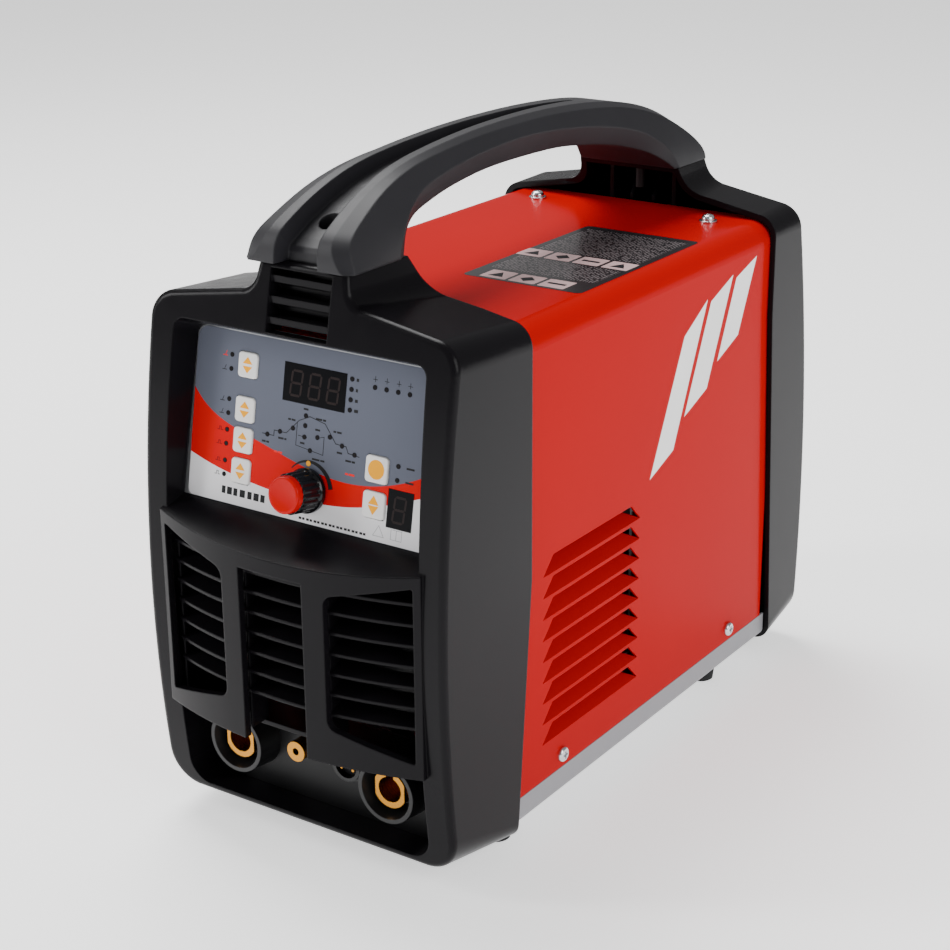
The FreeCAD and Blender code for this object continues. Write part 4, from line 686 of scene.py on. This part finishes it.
keys = {"cycle": (-38.1, 67.7), "current": (-38.1, 46.6), "start": (-38.1, 31.9), "pulse": (-38.1, 17.1),
        "channel": (40.1, 33.0), "store": (40.1, 16.6)}
arrow_low, arrow_high = 0.88 * mm, 0.93 * mm
for name, (u, v) in keys.items():
    half_u, half_v = (6.2, 6.2) if name in ("channel", "store") else (5.65, 6.0)
    parts = [(*key_cap(u, v, half_u, half_v), key_white)]
    if name == "channel":
        ring = np.linspace(0, 2 * math.pi, 32, endpoint=False)
        disc = np.stack([u + 4.5 * np.cos(ring), v + 4.5 * np.sin(ring)], 1)
        parts.append(ink(disc, amber_ink, arrow_low, arrow_high))
    else:
        reach, near, far = (3.0, 0.3, 4.6) if name == "store" else (2.9, 0.6, 3.9)
        for way in (1, -1):
            tips = [(u - reach, v + way * near), (u + reach, v + way * near), (u, v + way * far)]
            parts.append(ink(tips[::way], amber_ink, arrow_low, arrow_high))
    piece(f"{name}_key_cap", f"{name}_button", parts, [f"{name}_key"])

# ---- Knob -----------------------------------------------------------------------------------
# A fluted black knob, pushed on the encoder's shaft, with a red cap pressed into its end.
knob_gloss = moulded("knob black", (0.005, 0.005, 0.006), 0.12, 0.003, 0.000004, 0.0004, 0.3)
cap_red = moulded("knob red", (0.42, 0.0005, 0.001), 0.14, 0.003, 0.000004, 0.0, 0.14)
panel_normal = (0, -math.cos(lean), math.sin(lean))
knob_base = on_panel(knob_u * mm, knob_v * mm, 0.0)
flute_count, flute_depth, knob_steps = 18, 0.0007, 216


def flutes(angle, radius, height):
    """Cuts rounded grooves, a raised cosine to the power 1.5, into the wall above the skirt."""
    depth = flute_depth * (0.5 + 0.5 * np.cos(flute_count * angle)) ** 1.5
    wall = (height > 0.0042) & (radius > 0.0085)
    return np.where(wall, radius - depth, radius), height


knob_rows = [(3.1, 14.9), (3.1, 4.3), (5.6, 4.2), (5.6, 0.7), (10.2, 0.65), (10.55, 0.9), (10.6, 1.4),
             (10.6, 3.2), (10.2, 3.7), (9.9, 4.1), (9.85, 4.4), (9.8, 9.0), (9.7, 14.2), (9.5, 15.0),
             (9.0, 15.3), (8.9, 14.5), (3.1, 14.3)]
knob_profile = [(r * mm, h * mm) for r, h in knob_rows]
body_points, body_faces = turned(knob_profile, knob_base, panel_normal, knob_steps, flutes)
# The two end faces give way to a ring of quads, so that the bore runs through.
last = len(body_points) - knob_steps
around = [(i, (i + 1) % knob_steps) for i in range(knob_steps)]
body_faces = body_faces[:-2] + [[last + a, last + b, b, a] for a, b in around]
piece("knob_body", "knob", [(body_points, body_faces, knob_gloss)], ["encoder_knob"])
cap_rows = [(8.75, 14.6), (8.8, 15.0), (8.8, 17.9), (8.72, 18.4), (8.45, 18.8), (8.0, 19.0), (7.4, 18.95),
            (5.0, 18.75), (2.5, 18.65), (0.4, 18.62)]
cap_profile = [(r * mm, h * mm) for r, h in cap_rows]
cap_shape = turned(cap_profile, knob_base, panel_normal, 96)
piece("knob_red_cap", "knob", [(*cap_shape, cap_red)], ["knob_cap"])

# ---- Rear housing ---------------------------------------------------------------------------
# The rear frame is moulded in the same black plastic, open at the neck towards the cover.
give(housing_black, "rear_housing")

# ---- Rear panel -----------------------------------------------------------------------------
# A zinc-coated sheet, painted black, with the fan's slots, the mains switch, the cable gland,
# the gas inlet and the earth stud.
give(painted("black textured coat", (0.02, 0.02, 0.022), 0.45), "rear_panel")
give(part_black, "fan_frame", "fan_rotor", "switch_body", "cable_gland")
give(bright_zinc, "fan_screws", "earth_stud")
give(moulded("rocker red", (0.5, 0.008, 0.006), 0.25, 0.003, 0.000004, 0.0004, 0.5), "switch_rocker")
give(brass, "gas_inlet", "gas_valve")

# ---- Handle ---------------------------------------------------------------------------------
# A thick bow of grained black plastic, screwed down on both necks, hollowed along its top.
handle_black = moulded("handle black", (0.011, 0.0105, 0.013), 0.45, 0.0005, 0.00003, 0.0014, 0.34)
give(handle_black, "handle")
give(part_black, "handle_screws")
